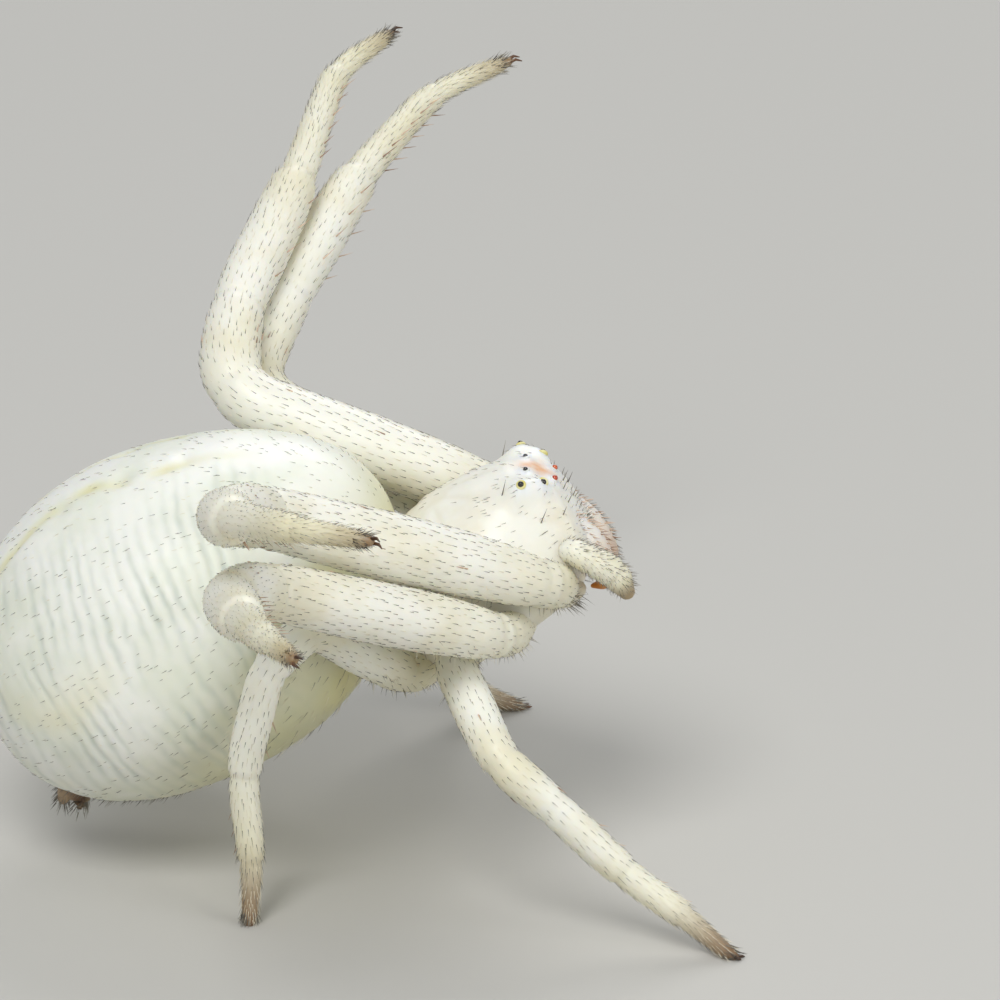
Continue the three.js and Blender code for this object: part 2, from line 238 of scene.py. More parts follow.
def mix(tree: bpy.types.NodeTree, share: object, first: object, second: object) -> bpy.types.NodeSocket:
    """Mixes two colours.

    Args:
        tree: The material's node tree.
        share: How much of the second, as a value or a socket.
        first: The first colour.
        second: The second colour.

    Returns:
        The mixed colour's socket.
    """
    inputs = {MIX_SHARE: share, MIX_FIRST: first, MIX_SECOND: second}
    return add_node(tree, "ShaderNodeMix", inputs, data_type="RGBA").outputs[MIX_RESULT]


def clouds(
    tree: bpy.types.NodeTree, across: float, detail: float, low: float, high: float
) -> bpy.types.NodeSocket:
    """Soft random patches over the surface.

    Args:
        tree: The material's node tree.
        across: Size of a patch in millimetres.
        detail: How finely it is broken up.
        low: Noise value that gives 0.
        high: Noise value that gives 1.

    Returns:
        A value from 0 to 1.
    """
    spot = add_node(tree, "ShaderNodeTexCoord").outputs["Object"]
    inputs = {"Vector": spot, "Scale": 1 / (across * MM), "Detail": detail}
    cloud = add_node(tree, "ShaderNodeTexNoise", inputs)
    inputs = {"Value": cloud.outputs["Fac"], "From Min": low, "From Max": high}
    return add_node(tree, "ShaderNodeMapRange", inputs, interpolation_type="SMOOTHSTEP").outputs["Result"]


def new_material(name: str) -> tuple[bpy.types.Material, bpy.types.NodeTree, bpy.types.Node]:
    """Makes a material with nodes.

    Args:
        name: Its name.

    Returns:
        The material, its node tree and its shader.
    """
    material = bpy.data.materials.new(name)
    material.use_nodes = True
    return material, material.node_tree, material.node_tree.nodes["Principled BSDF"]


# Markings that the skins carry as attributes, and their colours: brown feet and lips, orange brow, milky
# eye mounts, grey-green painted shade in the creases, and yellow fat.
MARKS = (
    ("stain", "7a5331"),
    ("blush", "e39a48"),
    ("milk", "eaf0f6"),
    ("groove", "a3b2a6"),
    ("yellow", "e3dc9c"),
)


@dataclass(frozen=True)
class Cuticle:
    """The spider's waxy, slightly see-through skin. Lengths are in millimetres.

    The white crystals are drawn in soft patches of about one and a half millimetres. The pores of a real
    skin are too fine to show in the render, so they are drawn as coarse as they need to show.
    """

    name: str
    white: str = "f5f4ea"
    shade: str = "ebe7d3"
    # The yellowish flesh colour, shown where the white thins out and also laid on as painted shade.
    thin: str = "d8cf9f"
    mottle: float = 1.4286
    pore: float = 0.1923
    pore_depth: float = 0.012
    pore_strength: float = 0.5
    smoothest: float = 0.32
    dullest: float = 0.5
    glow: float = 0.35
    glow_depth: float = 0.45
    glow_reach: tuple[float, float, float] = (1.0, 0.82, 0.5)
    ior: float = 1.45

    def build(self) -> bpy.types.Material:
        """Makes the material: mottled white over yellowish flesh and painted shade, dull in its pores."""
        material, tree, shader = new_material(self.name)
        patches = clouds(tree, self.mottle, 4.0, 0.42, 0.66)
        colour = mix(tree, patches, linear(self.white), linear(self.shade))
        # The first mark mixes in the yellowish flesh colour, which also serves as painted shade; the rest
        # are the markings.
        for name, code in (("tint", self.thin), *MARKS):
            mark = add_node(tree, "ShaderNodeAttribute", attribute_name=name)
            colour = mix(tree, mark.outputs["Fac"], colour, linear(code))
        tree.links.new(colour, shader.inputs["Base Color"])
        spot = add_node(tree, "ShaderNodeTexCoord").outputs["Object"]
        scale = 1 / (self.pore * MM)
        grain = add_node(tree, "ShaderNodeTexNoise", {"Vector": spot, "Scale": scale, "Detail": 3.0})
        inputs = {"Value": grain.outputs["Fac"], "To Min": self.smoothest, "To Max": self.dullest}
        rough = add_node(tree, "ShaderNodeMapRange", inputs)
        tree.links.new(rough.outputs["Result"], shader.inputs["Roughness"])
        height = grain.outputs["Fac"]
        inputs = {"Height": height, "Strength": self.pore_strength, "Distance": self.pore_depth * MM}
        pores = add_node(tree, "ShaderNodeBump", inputs)
        tree.links.new(pores.outputs["Normal"], shader.inputs["Normal"])
        shader.inputs["Subsurface Weight"].default_value = self.glow
        shader.inputs["Subsurface Radius"].default_value = self.glow_reach
        shader.inputs["Subsurface Scale"].default_value = self.glow_depth * MM
        shader.inputs["IOR"].default_value = self.ior
        return material


@dataclass(frozen=True)
class Horn:
    """Hard cuticle of fangs, claws, setae, spines and eye rims. Lengths are in millimetres.

    The shade changes over a third of a millimetre, which is about the length of a fang or a long spine.
    """

    name: str
    dark: str
    pale: str
    rough: float = 0.3
    streak: float = 0.3333

    def build(self) -> bpy.types.Material:
        """Makes the material: streaks of two shades with a hard gloss."""
        material, tree, shader = new_material(self.name)
        colour = mix(tree, clouds(tree, self.streak, 2.0, 0.35, 0.65), linear(self.dark), linear(self.pale))
        tree.links.new(colour, shader.inputs["Base Color"])
        shader.inputs["Roughness"].default_value = self.rough
        return material


@dataclass(frozen=True)
class Lens:
    """A wet-looking eye. Lengths are in millimetres.

    Pigment cells are too fine to show in the render, so their cloud is drawn nearly as wide as a lens.
    """

    name: str
    deep: str
    pale: str
    cloud: float = 0.06667
    rough: float = 0.12
    coat_rough: float = 0.04

    def build(self) -> bpy.types.Material:
        """Makes the material: clouded deep colour under a clear, mirror-smooth coat."""
        material, tree, shader = new_material(self.name)
        colour = mix(tree, clouds(tree, self.cloud, 2.0, 0.35, 0.7), linear(self.deep), linear(self.pale))
        tree.links.new(colour, shader.inputs["Base Color"])
        shader.inputs["Roughness"].default_value = self.rough
        shader.inputs["Coat Weight"].default_value = 1.0
        shader.inputs["Coat Roughness"].default_value = self.coat_rough
        return material


@dataclass(frozen=True)
class Ground:
    """The plain pale floor."""

    name: str = "pale_floor"
    colour: str = "c4c2bc"
    rough: float = 0.7

    def build(self) -> bpy.types.Material:
        """Makes the material: matt and even, so that nothing on it competes with the model."""
        material, _, shader = new_material(self.name)
        shader.inputs["Base Color"].default_value = linear(self.colour)
        shader.inputs["Roughness"].default_value = self.rough
        return material


# Thin living cuticle over white crystals in the cells below: light sinks in and comes back soft, the wax on
# top gives a dull gloss, and where the white thins out the yellowish flesh shows. The same yellowish colour
# is
# also laid on as painted shade: under the body, on the lower flanks, in furrows and at joints.
WAX = Cuticle("leg_cuticle")
SHIELD = Cuticle("carapace_cuticle", white="f4f3ea", shade="e6e0cc", thin="d3c9a6")
JAW = Cuticle("chelicera_cuticle", white="f4f1e8", shade="e6dccb", thin="d3b9a4")
# The abdomen's skin is thinner and stretched, so less light comes back and its pores are shallower.
SACK = Cuticle("abdomen_skin", white="f5f6ee", shade="e9ecde", thin="c6c07c", glow=0.3, pore_depth=0.01)
# Tanned cuticle is hard, brown and glossy: the more tanned, the darker.
BROWN = Horn("orange_brown_horn", "cf7a22", "f5b560")
CLAW = Horn("claw_horn", "3b2616", "6d4a2e")
SPINE = Horn("pinkish_brown_spine", "94745e", "dbbfa6", 0.4)
SPINNERET = Horn("spinneret_cuticle", "7a5e47", "b39a7c", 0.5)
# Setae are too thin to gloss as one, so they look duller than the horn that they are.
BRISTLE = Horn("dark_seta", "57524a", "8f897b", 0.45)
DOWN = Horn("pale_seta", "cfc7ac", "efe8d2", 0.5)
# A simple eye's lens is clear and smooth over dark or red pigment, so it keeps one sharp highlight.
BLACK_EYE = Lens("black_lens", "080605", "19120d")
RED_EYE = Lens("red_lens", "ac300a", "cc5a20")
# Pale pigment rings the lenses.
EYE_RIM = Horn("yellow_eye_rim", "dccf72", "efeab8", 0.35)
MILK_RING = Horn("milky_eye_rim", "d3d6cf", "eceeea", 0.35)

Finish = Cuticle | Horn | Lens | Ground
made_materials: dict[str, bpy.types.Material] = {}


def dressed(finish: Finish) -> bpy.types.Material:
    """The material of a finish, made once.

    Args:
        finish: The finish.

    Returns:
        Its material.
    """
    if finish.name not in made_materials:
        made_materials[finish.name] = finish.build()
    return made_materials[finish.name]


def shown(name: str, mesh: bpy.types.Mesh, finish: Finish) -> bpy.types.Object:
    """Puts a mesh in the scene at the origin, in its finish.

    Args:
        name: The object's name.
        mesh: Its mesh, in metres.
        finish: Its finish.

    Returns:
        The object.
    """
    mesh.materials.append(dressed(finish))
    piece = bpy.data.objects.new(name, mesh)
    bpy.context.scene.collection.objects.link(piece)
    return piece


def placed(name: str, bm: bmesh.types.BMesh, finish: Finish, nodes: list[str]) -> None:
    """Turns a bmesh in millimetres into a finished piece of the model.

    Args:
        name: The piece's name.
        bm: Its shape, which is freed here.
        finish: Its finish.
        nodes: The solids that it stands for.
    """
    bmesh.ops.recalc_face_normals(bm, faces=bm.faces)
    bmesh.ops.scale(bm, vec=(MM, MM, MM), verts=bm.verts)
    mesh = bpy.data.meshes.new(name)
    bm.to_mesh(mesh)
    bm.free()
    mesh.shade_smooth()
    piece = shown(name, mesh, finish)
    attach(piece, "root")
    if nodes:
        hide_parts(*nodes)
    log.info("%s: %d faces", name, len(mesh.polygons))


def add_marks(bm: bmesh.types.BMesh, *names: str) -> list:
    """Adds one value a point for each marking.

    Args:
        bm: The bmesh that takes them.
        *names: The markings.

    Returns:
        Their layers.
    """
    for name in names:
        bm.verts.layers.float.new(name)
    return [bm.verts.layers.float[name] for name in names]


def grown(bm: bmesh.types.BMesh, loop: list) -> tuple[list, list]:
    """Draws out a loop of edges by one ring.

    Args:
        bm: The bmesh.
        loop: The edges of its last ring.

    Returns:
        The new ring's points and its edges, in the order of the old ring's.
    """
    made = bmesh.ops.extrude_edge_only(bm, edges=loop)["geom"]
    ring = [v for v in made if isinstance(v, bmesh.types.BMVert)]
    return ring, [e for e in made if isinstance(e, bmesh.types.BMEdge)]


def first_ring(bm: bmesh.types.BMesh, sides: int) -> tuple[list, list]:
    """Adds a circle to grow a tube from.

    Args:
        bm: The bmesh that takes it.
        sides: Sides of the circle.

    Returns:
        Its points and its edges.
    """
    ring = bmesh.ops.create_circle(bm, segments=sides, radius=1.0)["verts"]
    return ring, list({e for v in ring for e in v.link_edges})


def add_tube(bm: bmesh.types.BMesh, points: list[Vector], radii: tuple, sides: int) -> None:
    """Adds a closed, tapering tube with one ring at each point.

    Args:
        bm: The bmesh that takes it.
        points: Ring centres.
        radii: Ring radii.
        sides: Sides of each ring.
    """
    ring, loop = first_ring(bm, sides)
    bmesh.ops.contextual_create(bm, geom=ring)
    for i, (point, radius) in enumerate(zip(points, radii)):
        if i:
            ring, loop = grown(bm, loop)
        ahead = points[min(i + 1, len(points) - 1)] - points[max(i - 1, 0)]
        turn = Matrix.Translation(point) @ ahead.to_track_quat("Z", "Y").to_matrix().to_4x4()
        for k, v in enumerate(ring):
            angle = FULL_TURN * k / sides
            v.co = turn @ Vector((math.cos(angle) * radius, math.sin(angle) * radius, 0))
    bmesh.ops.contextual_create(bm, geom=ring)


def join(whole: bmesh.types.BMesh, part: bmesh.types.BMesh) -> None:
    """Adds one bmesh to another.

    Args:
        whole: The bmesh that takes it.
        part: The one to add, which is freed here.
    """
    mesh = bpy.data.meshes.new("part")
    part.to_mesh(mesh)
    part.free()
    whole.from_mesh(mesh)
    bpy.data.meshes.remove(mesh)


# Setae.


@dataclass
class Seta:
    """One hair, bristle or spine, in millimetres."""

    root: Vector
    aim: Vector
    length: float
    width: float
    lean: Vector
    uv: tuple[float, float]


@dataclass
class Coat:
    """Many setae joined into one mesh, each a bent, tapering cone."""

    name: str
    finish: Horn
    slot: str
    setae: list[Seta] = field(default_factory=list)
    sides: int = 4
    tip_share: float = 0.12
    bake_map: str = "OFBake"
    bake_patch: float = 0.003

    def add(self, root: Vector, aim: Vector, length: float, width: float, lean: Vector, uv: tuple) -> None:
        """Adds one seta.

        Args:
            root: Where it leaves the skin; it starts a little under that.
            aim: Its direction at the root.
            length: Its length.
            width: Its radius at the root.
            lean: How it bends away from its direction, as a share of its length.
            uv: Its root's place on the unwrap of the skin, from 0 to 1 along and round it.
        """
        aim = aim.normalized()
        self.setae.append(Seta(root - aim * width, aim, length, width, lean, (uv[0] % 1.0, uv[1])))

    def cone(self) -> tuple[np.ndarray, np.ndarray]:
        """Makes one seta, a unit long and a unit in radius.

        Returns:
            Its points, and its faces as indices of them.
        """
        bm = bmesh.new()
        bmesh.ops.create_cone(
            bm, segments=self.sides, radius1=1.0, radius2=self.tip_share, depth=1.0, cap_ends=False
        )
        whole = bm.verts[:] + bm.edges[:] + bm.faces[:]
        bmesh.ops.bisect_plane(bm, geom=whole, plane_co=(0, 0, 0), plane_no=(0, 0, 1))
        bm.verts.ensure_lookup_table()
        bm.verts.index_update()
        shape = np.array([v.co[:] for v in bm.verts])
        faces = np.array([[v.index for v in f.verts] for f in bm.faces])
        bm.free()
        shape[:, 2] += 0.5
        return shape, faces

    def spots(self, shape: np.ndarray) -> np.ndarray:
        """Places a copy of the cone's points for every seta.

        Args:
            shape: The points of one cone.

        Returns:
            Places in metres, by seta and point, none of them under the floor.
        """
        aim = np.array([s.aim[:] for s in self.setae])
        spare = np.where(np.abs(aim[:, 2:3]) < 0.9, [[0.0, 0.0, 1.0]], [[1.0, 0.0, 0.0]])
        side = np.cross(aim, spare)
        side /= np.linalg.norm(side, axis=1, keepdims=True)
        other = np.cross(aim, side)
        root = np.array([s.root[:] for s in self.setae])
        length = np.array([s.length for s in self.setae])[:, None, None]
        width = np.array([s.width for s in self.setae])[:, None, None]
        lean = np.array([s.lean[:] for s in self.setae])
        x, y, along = (shape[None, :, i : i + 1] for i in range(3))
        across = width * (x * side[:, None] + y * other[:, None])
        spots = root[:, None] + across + length * along * aim[:, None] + length * along**2 * lean[:, None]
        spots[:, :, 2] = np.maximum(spots[:, :, 2], 0.0)
        return spots * MM

    def build(self) -> None:
        """Makes the joined mesh with its bake map and sets it on the model."""
        shape, faces = self.cone()
        count = len(self.setae)
        corners = (faces[None] + (np.arange(count) * len(shape))[:, None, None]).reshape(-1, faces.shape[1])
        mesh = bpy.data.meshes.new(self.name)
        mesh.from_pydata(self.spots(shape).reshape(-1, 3).tolist(), [], corners.tolist())
        patch = np.stack([shape[:, 0] * 0.5, shape[:, 2] - 0.5], axis=1) * self.bake_patch
        uv = np.array([s.uv for s in self.setae])[:, None] + patch[None]
        uv = np.clip(uv, 0.0, 1.0).reshape(-1, 2)
        layer = mesh.uv_layers.new(name=self.bake_map)
        loops = np.empty(len(mesh.loops), dtype=np.int32)
        mesh.loops.foreach_get("vertex_index", loops)
        layer.uv.foreach_set("vector", uv[loops].astype(np.float32).ravel())
        mesh.shade_smooth()
        piece = shown(self.name, mesh, self.finish)
        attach(piece, "root")
        log.info("%s: %d setae", self.name, count)


# Limbs.


@dataclass
class CentreLine:
    """The middle of a limb: straight runs with rounded corners, and axes carried along it."""

    points: list[Vector]
    step: float = 0.04
    places: list[Vector] = field(default_factory=list)
    lengths: list[float] = field(default_factory=list)
    marks: list[float] = field(default_factory=list)
    tangents: list[Vector] = field(default_factory=list)
    sides: list[Vector] = field(default_factory=list)

    def __post_init__(self) -> None:
        """Samples the line, measures it and carries its axes along it."""
        self.places.append(self.points[0].copy())
        corners = [self.bend(*three) for three in zip(self.points, self.points[1:], self.points[2:])]
        self.run(self.points[-1])
        total = 0.0
        self.lengths.append(total)
        for a, b in zip(self.places, self.places[1:]):
            total += (b - a).length
            self.lengths.append(total)
        self.marks = [0.0] + [self.lengths[i] for i in corners] + [total]
        self.carry_axes()

    def run(self, end: Vector) -> None:
        """Adds a straight run.

        Args:
            end: Where it ends.
        """
        start = self.places[-1].copy()
        count = max(1, round((end - start).length / self.step))
        for i in range(1, count + 1):
            self.places.append(start.lerp(end, i / count))

    def bend(self, before: Vector, corner: Vector, after: Vector) -> int:
        """Adds the run up to a corner and its rounding.

        Args:
            before: The corner before it.
            corner: The corner.
            after: The corner after it.

        Returns:
            The index of the place in the middle of the rounding.
        """
        into = corner - before
        out = after - corner
        reach = min(CORNER_REACH, CORNER_SHARE * into.length, CORNER_SHARE * out.length)
        first = corner - into.normalized() * reach
        last = corner + out.normalized() * reach
        self.run(first)
        start = len(self.places)
        for i in range(1, CORNER_STEPS + 1):
            t = i / CORNER_STEPS
            self.places.append(first * (1 - t) ** 2 + corner * (2 * t * (1 - t)) + last * t**2)
        return start + CORNER_STEPS // 2

    def carry_axes(self) -> None:
        """Carries a cross direction along the line without twist."""
        across = Vector((0, 0, 1))
        previous = None
        for i in range(len(self.places)):
            a = self.places[max(0, i - 1)]
            b = self.places[min(len(self.places) - 1, i + 1)]
            tangent = (b - a).normalized()
            if previous is not None:
                across.rotate(previous.rotation_difference(tangent))
            across = (across - tangent * across.dot(tangent)).normalized()
            self.tangents.append(tangent)
            self.sides.append(across.copy())
            previous = tangent

    @property
    def end(self) -> float:
        """The line's whole length."""
        return self.lengths[-1]

    def place(self, q: float) -> float:
        """The arc length of a place given as segment number plus fraction."""
        i = min(int(q), len(self.marks) - 2)
        return self.marks[i] + (self.marks[i + 1] - self.marks[i]) * (q - i)

    def share(self, s: float) -> float:
        """The segment number plus fraction of an arc length."""
        i = min(max(0, bisect.bisect_right(self.marks, s) - 1), len(self.marks) - 2)
        return i + (s - self.marks[i]) / (self.marks[i + 1] - self.marks[i])

    def axes(self, s: float) -> tuple[Vector, Vector, Vector, Vector]:
        """Place, tangent and the two cross directions at an arc length.

        Args:
            s: Arc length in millimetres, held to the line's ends.

        Returns:
            The place, the tangent, and two unit vectors across it.
        """
        held = min(max(s, 0.0), self.end)
        i = min(max(1, bisect.bisect_left(self.lengths, held)), len(self.places) - 1)
        low = self.lengths[i - 1]
        t = (held - low) / max(1e-9, self.lengths[i] - low)
        tangent = self.tangents[i - 1].lerp(self.tangents[i], t).normalized()
        side = self.sides[i - 1].lerp(self.sides[i], t)
        side = (side - tangent * side.dot(tangent)).normalized()
        middle = self.places[i - 1].lerp(self.places[i], t) + tangent * (s - held)
        return middle, tangent, side, tangent.cross(side)


@dataclass
class Limb:
    """A round, jointed limb with one skin over all its segments.

    Tables run over the segment number plus fraction. A fold is its place, its depth and its width.
    """

    name: str
    line: CentreLine
    table: tuple
    folds: tuple = ()
    sides: int = 24
    spacing: float = 0.07
    tint: tuple = ((0, 0.0), (1, 0.0))
    stain: tuple = ((0, 0.0), (1, 0.0))
    fold_rim: float = 0.15
    unevenness: float = 0.018
    tip_rings: tuple = ((0.8, 0.55), (0.4, 0.9))

    def radius(self, s: float, turn: float) -> float:
        """The skin's radius.

        Args:
            s: Arc length.
            turn: Turn round the limb.

        Returns:
            The radius, with its folds and its slight unevenness.
        """
        r = blend(self.table, self.line.share(s))
        for place, depth, width in self.folds:
            gap = (s - self.line.place(place)) / width
            r -= depth * bump(gap)
            r += self.fold_rim * depth * bump(gap + 2.0)
        spot = Vector((math.cos(turn) * 0.8, math.sin(turn) * 0.8, s * 0.9 + len(self.name)))
        return r * (1.0 + self.unevenness * noise.noise(spot))

    def surface(self, s: float, turn: float) -> tuple[Vector, Vector, Vector]:
        """A point on the skin.

        Args:
            s: Arc length.
            turn: Turn round the limb.

        Returns:
            The point, the outward direction and the tangent.
        """
        middle, tangent, side, other = self.line.axes(s)
        out = side * math.cos(turn) + other * math.sin(turn)
        return middle + out * self.radius(s, turn), out, tangent

    def unwrap(self, s: float, turn: float) -> tuple[float, float]:
        """The place of a point on the unwrap of the skin: round it and along it."""
        return turn / FULL_TURN, s / self.line.end

    def skin(self) -> bmesh.types.BMesh:
        """Sweeps the skin as rings drawn out along the line.

        Returns:
            The skin, closed at both ends.
        """
        bm = bmesh.new()
        tint, stain = add_marks(bm, "tint", "stain")
        end = self.line.end
        count = max(4, round(end / self.spacing))
        ring, loop = first_ring(bm, self.sides)
        root = ring
        for n in range(count + 1):
            s = end * n / count
            q = self.line.share(s)
            if n:
                ring, loop = grown(bm, loop)
            for i, v in enumerate(ring):
                v.co = self.surface(s, FULL_TURN * i / self.sides)[0]
                v[tint] = blend(self.tint, q)
                v[stain] = blend(self.stain, q)
        bmesh.ops.contextual_create(bm, geom=root)
        middle, tangent, _, _ = self.line.axes(end)
        for share, out in self.tip_rings:
            ring, loop = grown(bm, loop)
            for i, v in enumerate(ring):
                spot = self.surface(end, FULL_TURN * i / self.sides)[0]
                v.co = middle + (spot - middle) * share + tangent * (self.table[-1][1] * out)
                v[tint] = self.tint[-1][1]
                v[stain] = self.stain[-1][1]
        bmesh.ops.contextual_create(bm, geom=ring)
        return bm


# Turn and rise of each leg segment in degrees, from the coxa outwards, as in the solids.
LEG_POSES = {
    (Side.RIGHT, 1): ((97, 20), (154.5, 21.5), (106.8, 18.8), (86.9, 19.1), (66.4, 15.5), (30.1, 2.1)),
    (Side.RIGHT, 2): ((97, 12), (145.5, 21.5), (106.5, 15.5), (83.8, 14.2), (79.7, 13.3), (71.7, 7.5)),
    (Side.RIGHT, 3): ((112, 8), (70, -23), (18, -36), (6, -44), (22, -30), (25, -28)),
    (Side.RIGHT, 4): ((116, -1), (137, 34), (150, -35), (200, -76), (60, -77), (100, -60)),
    (Side.LEFT, 1): ((105, 20), (171.5, 19.2), (87.2, 28.6), (68.9, 26.9), (74.2, 28.8), (46.3, 14.9)),
    (Side.LEFT, 2): ((100, 12), (158.5, 24), (61.1, 39), (65.4, 24.8), (57.1, 20.2), (13.8, 18.8)),
    (Side.LEFT, 3): ((114, 8), (105, -2), (80, -42), (50, -70), (22, -65), (20, -24)),
    (Side.LEFT, 4): ((116, -1), (132, 12), (150, -22), (160, -50), (162, -58), (160, -45)),
}

LEG_FOLDS = (
    (0.93, 0.025, 0.05), (1.03, 0.035, 0.05), (2.0, 0.028, 0.07), (3.0, 0.024, 0.07), (4.0, 0.03, 0.05),
    (5.0, 0.02, 0.04),
)
# Yellowish along a leg, by segment: flesh showing through towards the tip, and painted shade at the coxa and
# the joints.
LEG_FLESH_AND_SHADE = (
    (0, 0.5), (0.9, 0.42), (1.3, 0.08), (1.8, 0.05), (2.1, 0.25), (2.5, 0.1), (3.5, 0.08), (4.1, 0.25),
    (5, 0.4), (6, 0.7),
)
RAISED_STAIN = ((0, 0.0), (5.3, 0.0), (5.9, 0.45), (6, 0.8))
STANDING_STAIN = ((0, 0.0), (4.7, 0.0), (5.1, 0.3), (5.5, 0.65), (6, 0.9))


@dataclass(frozen=True)
class LegCoat:
    """How a leg's short setae change from its coxa to its tip, by segment number plus fraction."""

    gap: tuple = ((0, 0.14), (3, 0.155), (4, 0.12), (5, 0.08), (6, 0.06))
    length: tuple = ((0, 0.13), (1.2, 0.11), (3, 0.11), (4, 0.12), (5, 0.14), (6, 0.15))
    width: tuple = ((0, 0.0065), (3, 0.006), (4, 0.005), (6, 0.005))
    lift: tuple = ((0, 0.5), (1.2, 0.16), (3, 0.2), (4.5, 0.3), (6, 0.45))
    pale: tuple = ((0, 0.4), (1, 0.2), (3, 0.3), (4, 0.6), (6, 0.55))
    start: float = 0.3
    bare_tip: float = 0.05
    droop: float = 0.1


@dataclass(frozen=True)
class SpineRow:
    """A double row of spines on the inside of a bent leg."""

    low: float
    high: float
    count: int
    length: float
    spread: float = 0.6
    width: float = 0.014


CATCHING_ROWS = (SpineRow(3.15, 3.9, 4, 0.28), SpineRow(4.12, 4.9, 6, 0.26))
WALKING_ROWS = (SpineRow(3.3, 3.9, 2, 0.2), SpineRow(4.3, 4.9, 3, 0.18))


@dataclass
class Leg:
    """One walking leg from coxa to claws, with its setae."""

    side: Side
    pair: int
    coat: LegCoat = LegCoat()
    fringe_count: int = 260
    brush_count: int = 46
    brush_reach: float = 0.22
    claw_radii: tuple = (0.032, 0.026, 0.008)
    claw_sides: int = 8
    claw_lowest: float = 0.035
    limb: Limb = field(init=False)

    def __post_init__(self) -> None:
        """Works out the joints from the hip outwards."""
        points = [HEAD_AXES @ self.side.spot(*HIPS[self.pair])]
        for i, (turn, rise) in enumerate(LEG_POSES[self.side, self.pair]):
            length = SEGMENTS[self.pair][i]
            if self.stands and i == TARSUS:
                rise = -math.degrees(math.asin((points[-1].z - FOOT_HEIGHT) / length))
            points.append(points[-1] + direction(turn, rise, self.side) * length)
        self.limb = Limb(
            f"leg_{self.side.word}_{self.pair}",
            CentreLine(points),
            THICKNESS[self.pair],
            folds=LEG_FOLDS,
            tint=LEG_FLESH_AND_SHADE,
            stain=STANDING_STAIN if self.stands else RAISED_STAIN,
        )

    @property
    def stands(self) -> bool:
        """Whether the leg stands on the floor."""
        return self.pair > 2

    def seeded(self, part: int) -> random.Random:
        """The random numbers of one part of this leg's coat."""
        return random.Random(self.pair * part + self.side.value)

    def inside(self) -> Vector:
        """The direction towards the inside of the knee."""
        p = self.limb.line.points
        return ((p[3] - p[2]).normalized() - (p[2] - p[1]).normalized()).normalized()

    def build(self) -> None:
        """Makes the skin, the setae and the claws."""
        name = self.limb.name
        dark = Coat(f"{name}_setae", BRISTLE, "leg")
        down = Coat(f"{name}_down", DOWN, "leg")
        spines = Coat(f"{name}_spines", SPINE, "leg")
        bm = self.limb.skin()
        for v in bm.verts:
            v.co.z = max(v.co.z, 0.0)
        nodes = [f"{name}_{part}" for part in ("coxa", "femur", "tibia", "foot")]
        placed(f"{name}_skin", bm, WAX, nodes)
        self.hairs(dark, down)
        self.fringe(dark, down)
        self.armour(spines)
        self.claws()
        self.brush(dark)
        for setae in (dark, down, spines):
            setae.build()

    def hairs(self, dark: Coat, down: Coat) -> None:
        """Rings of short setae that lie along the leg, pointing to its tip.

        Args:
            dark: Takes the dark ones.
            down: Takes the pale ones.
        """
        draw = self.seeded(10)
        line = self.limb.line
        s = line.place(self.coat.start)
        while s < line.end - self.coat.bare_tip:
            q = line.share(s)
            gap = blend(self.coat.gap, q)
            width = blend(self.coat.width, q)
            count = max(6, round(FULL_TURN * blend(self.limb.table, q) / gap))
            offset = draw.random()
            for k in range(count):
                turn = FULL_TURN * (k + offset + draw.uniform(-0.25, 0.25)) / count
                point, out, tangent = self.limb.surface(s + draw.uniform(-0.4, 0.4) * gap, turn)
                length = blend(self.coat.length, q) * draw.uniform(0.75, 1.25)
                aim = tangent + out * blend(self.coat.lift, q) * draw.uniform(0.7, 1.3)
                part = down if draw.random() < blend(self.coat.pale, q) else dark
                part.add(point, aim, length, width, -out * self.coat.droop, self.limb.unwrap(s, turn))
            s += gap

    def fringe(self, dark: Coat, down: Coat) -> None:
        """Longer hairs that hang under the coxa and the trochanter.

        Args:
            dark: Takes the dark ones.
            down: Takes the pale ones.
        """
        draw = self.seeded(40)
        sag = Vector((0, 0, -0.15))
        for _ in range(self.fringe_count):
            s = self.limb.line.place(draw.uniform(0.25, 1.35))
            turn = draw.uniform(0, FULL_TURN)
            point, out, tangent = self.limb.surface(s, turn)
            if out.z > -0.25:
                continue
            aim = out + tangent * draw.uniform(-0.3, 0.9) + Vector((0.3, 0, 0))
            part = dark if draw.random() < 0.45 else down
            part.add(point, aim, draw.uniform(0.07, 0.17), 0.005, sag, self.limb.unwrap(s, turn))

    def armour(self, spines: Coat) -> None:
        """Paired spines under the tibia and metatarsus, and a few flat ones along the femur.

        Args:
            spines: Takes them all.
        """
        draw = self.seeded(20)
        line = self.limb.line
        inside = self.inside()
        for row in WALKING_ROWS if self.stands else CATCHING_ROWS:
            for k in range(row.count):
                s = line.place(row.low + (row.high - row.low) * (k + 0.5) / row.count)
                _, _, side, other = line.axes(s)
                middle = math.atan2(inside.dot(other), inside.dot(side))
                for turn in (middle - row.spread, middle + row.spread):
                    point, out, tangent = self.limb.surface(s, turn)
                    length = row.length * draw.uniform(0.85, 1.1)
                    uv = self.limb.unwrap(s, turn)
                    spines.add(point, tangent + out * 0.75, length, row.width, tangent * 0.1, uv)
        for _ in range(5 if self.stands else 14):
            s = line.place(draw.uniform(1.15, 2.9))
            turn = draw.uniform(0, FULL_TURN)
            point, out, tangent = self.limb.surface(s, turn)
            aim = tangent + out * 0.22
            spines.add(point, aim, draw.uniform(0.12, 0.18), 0.015, -out * 0.1, self.limb.unwrap(s, turn))

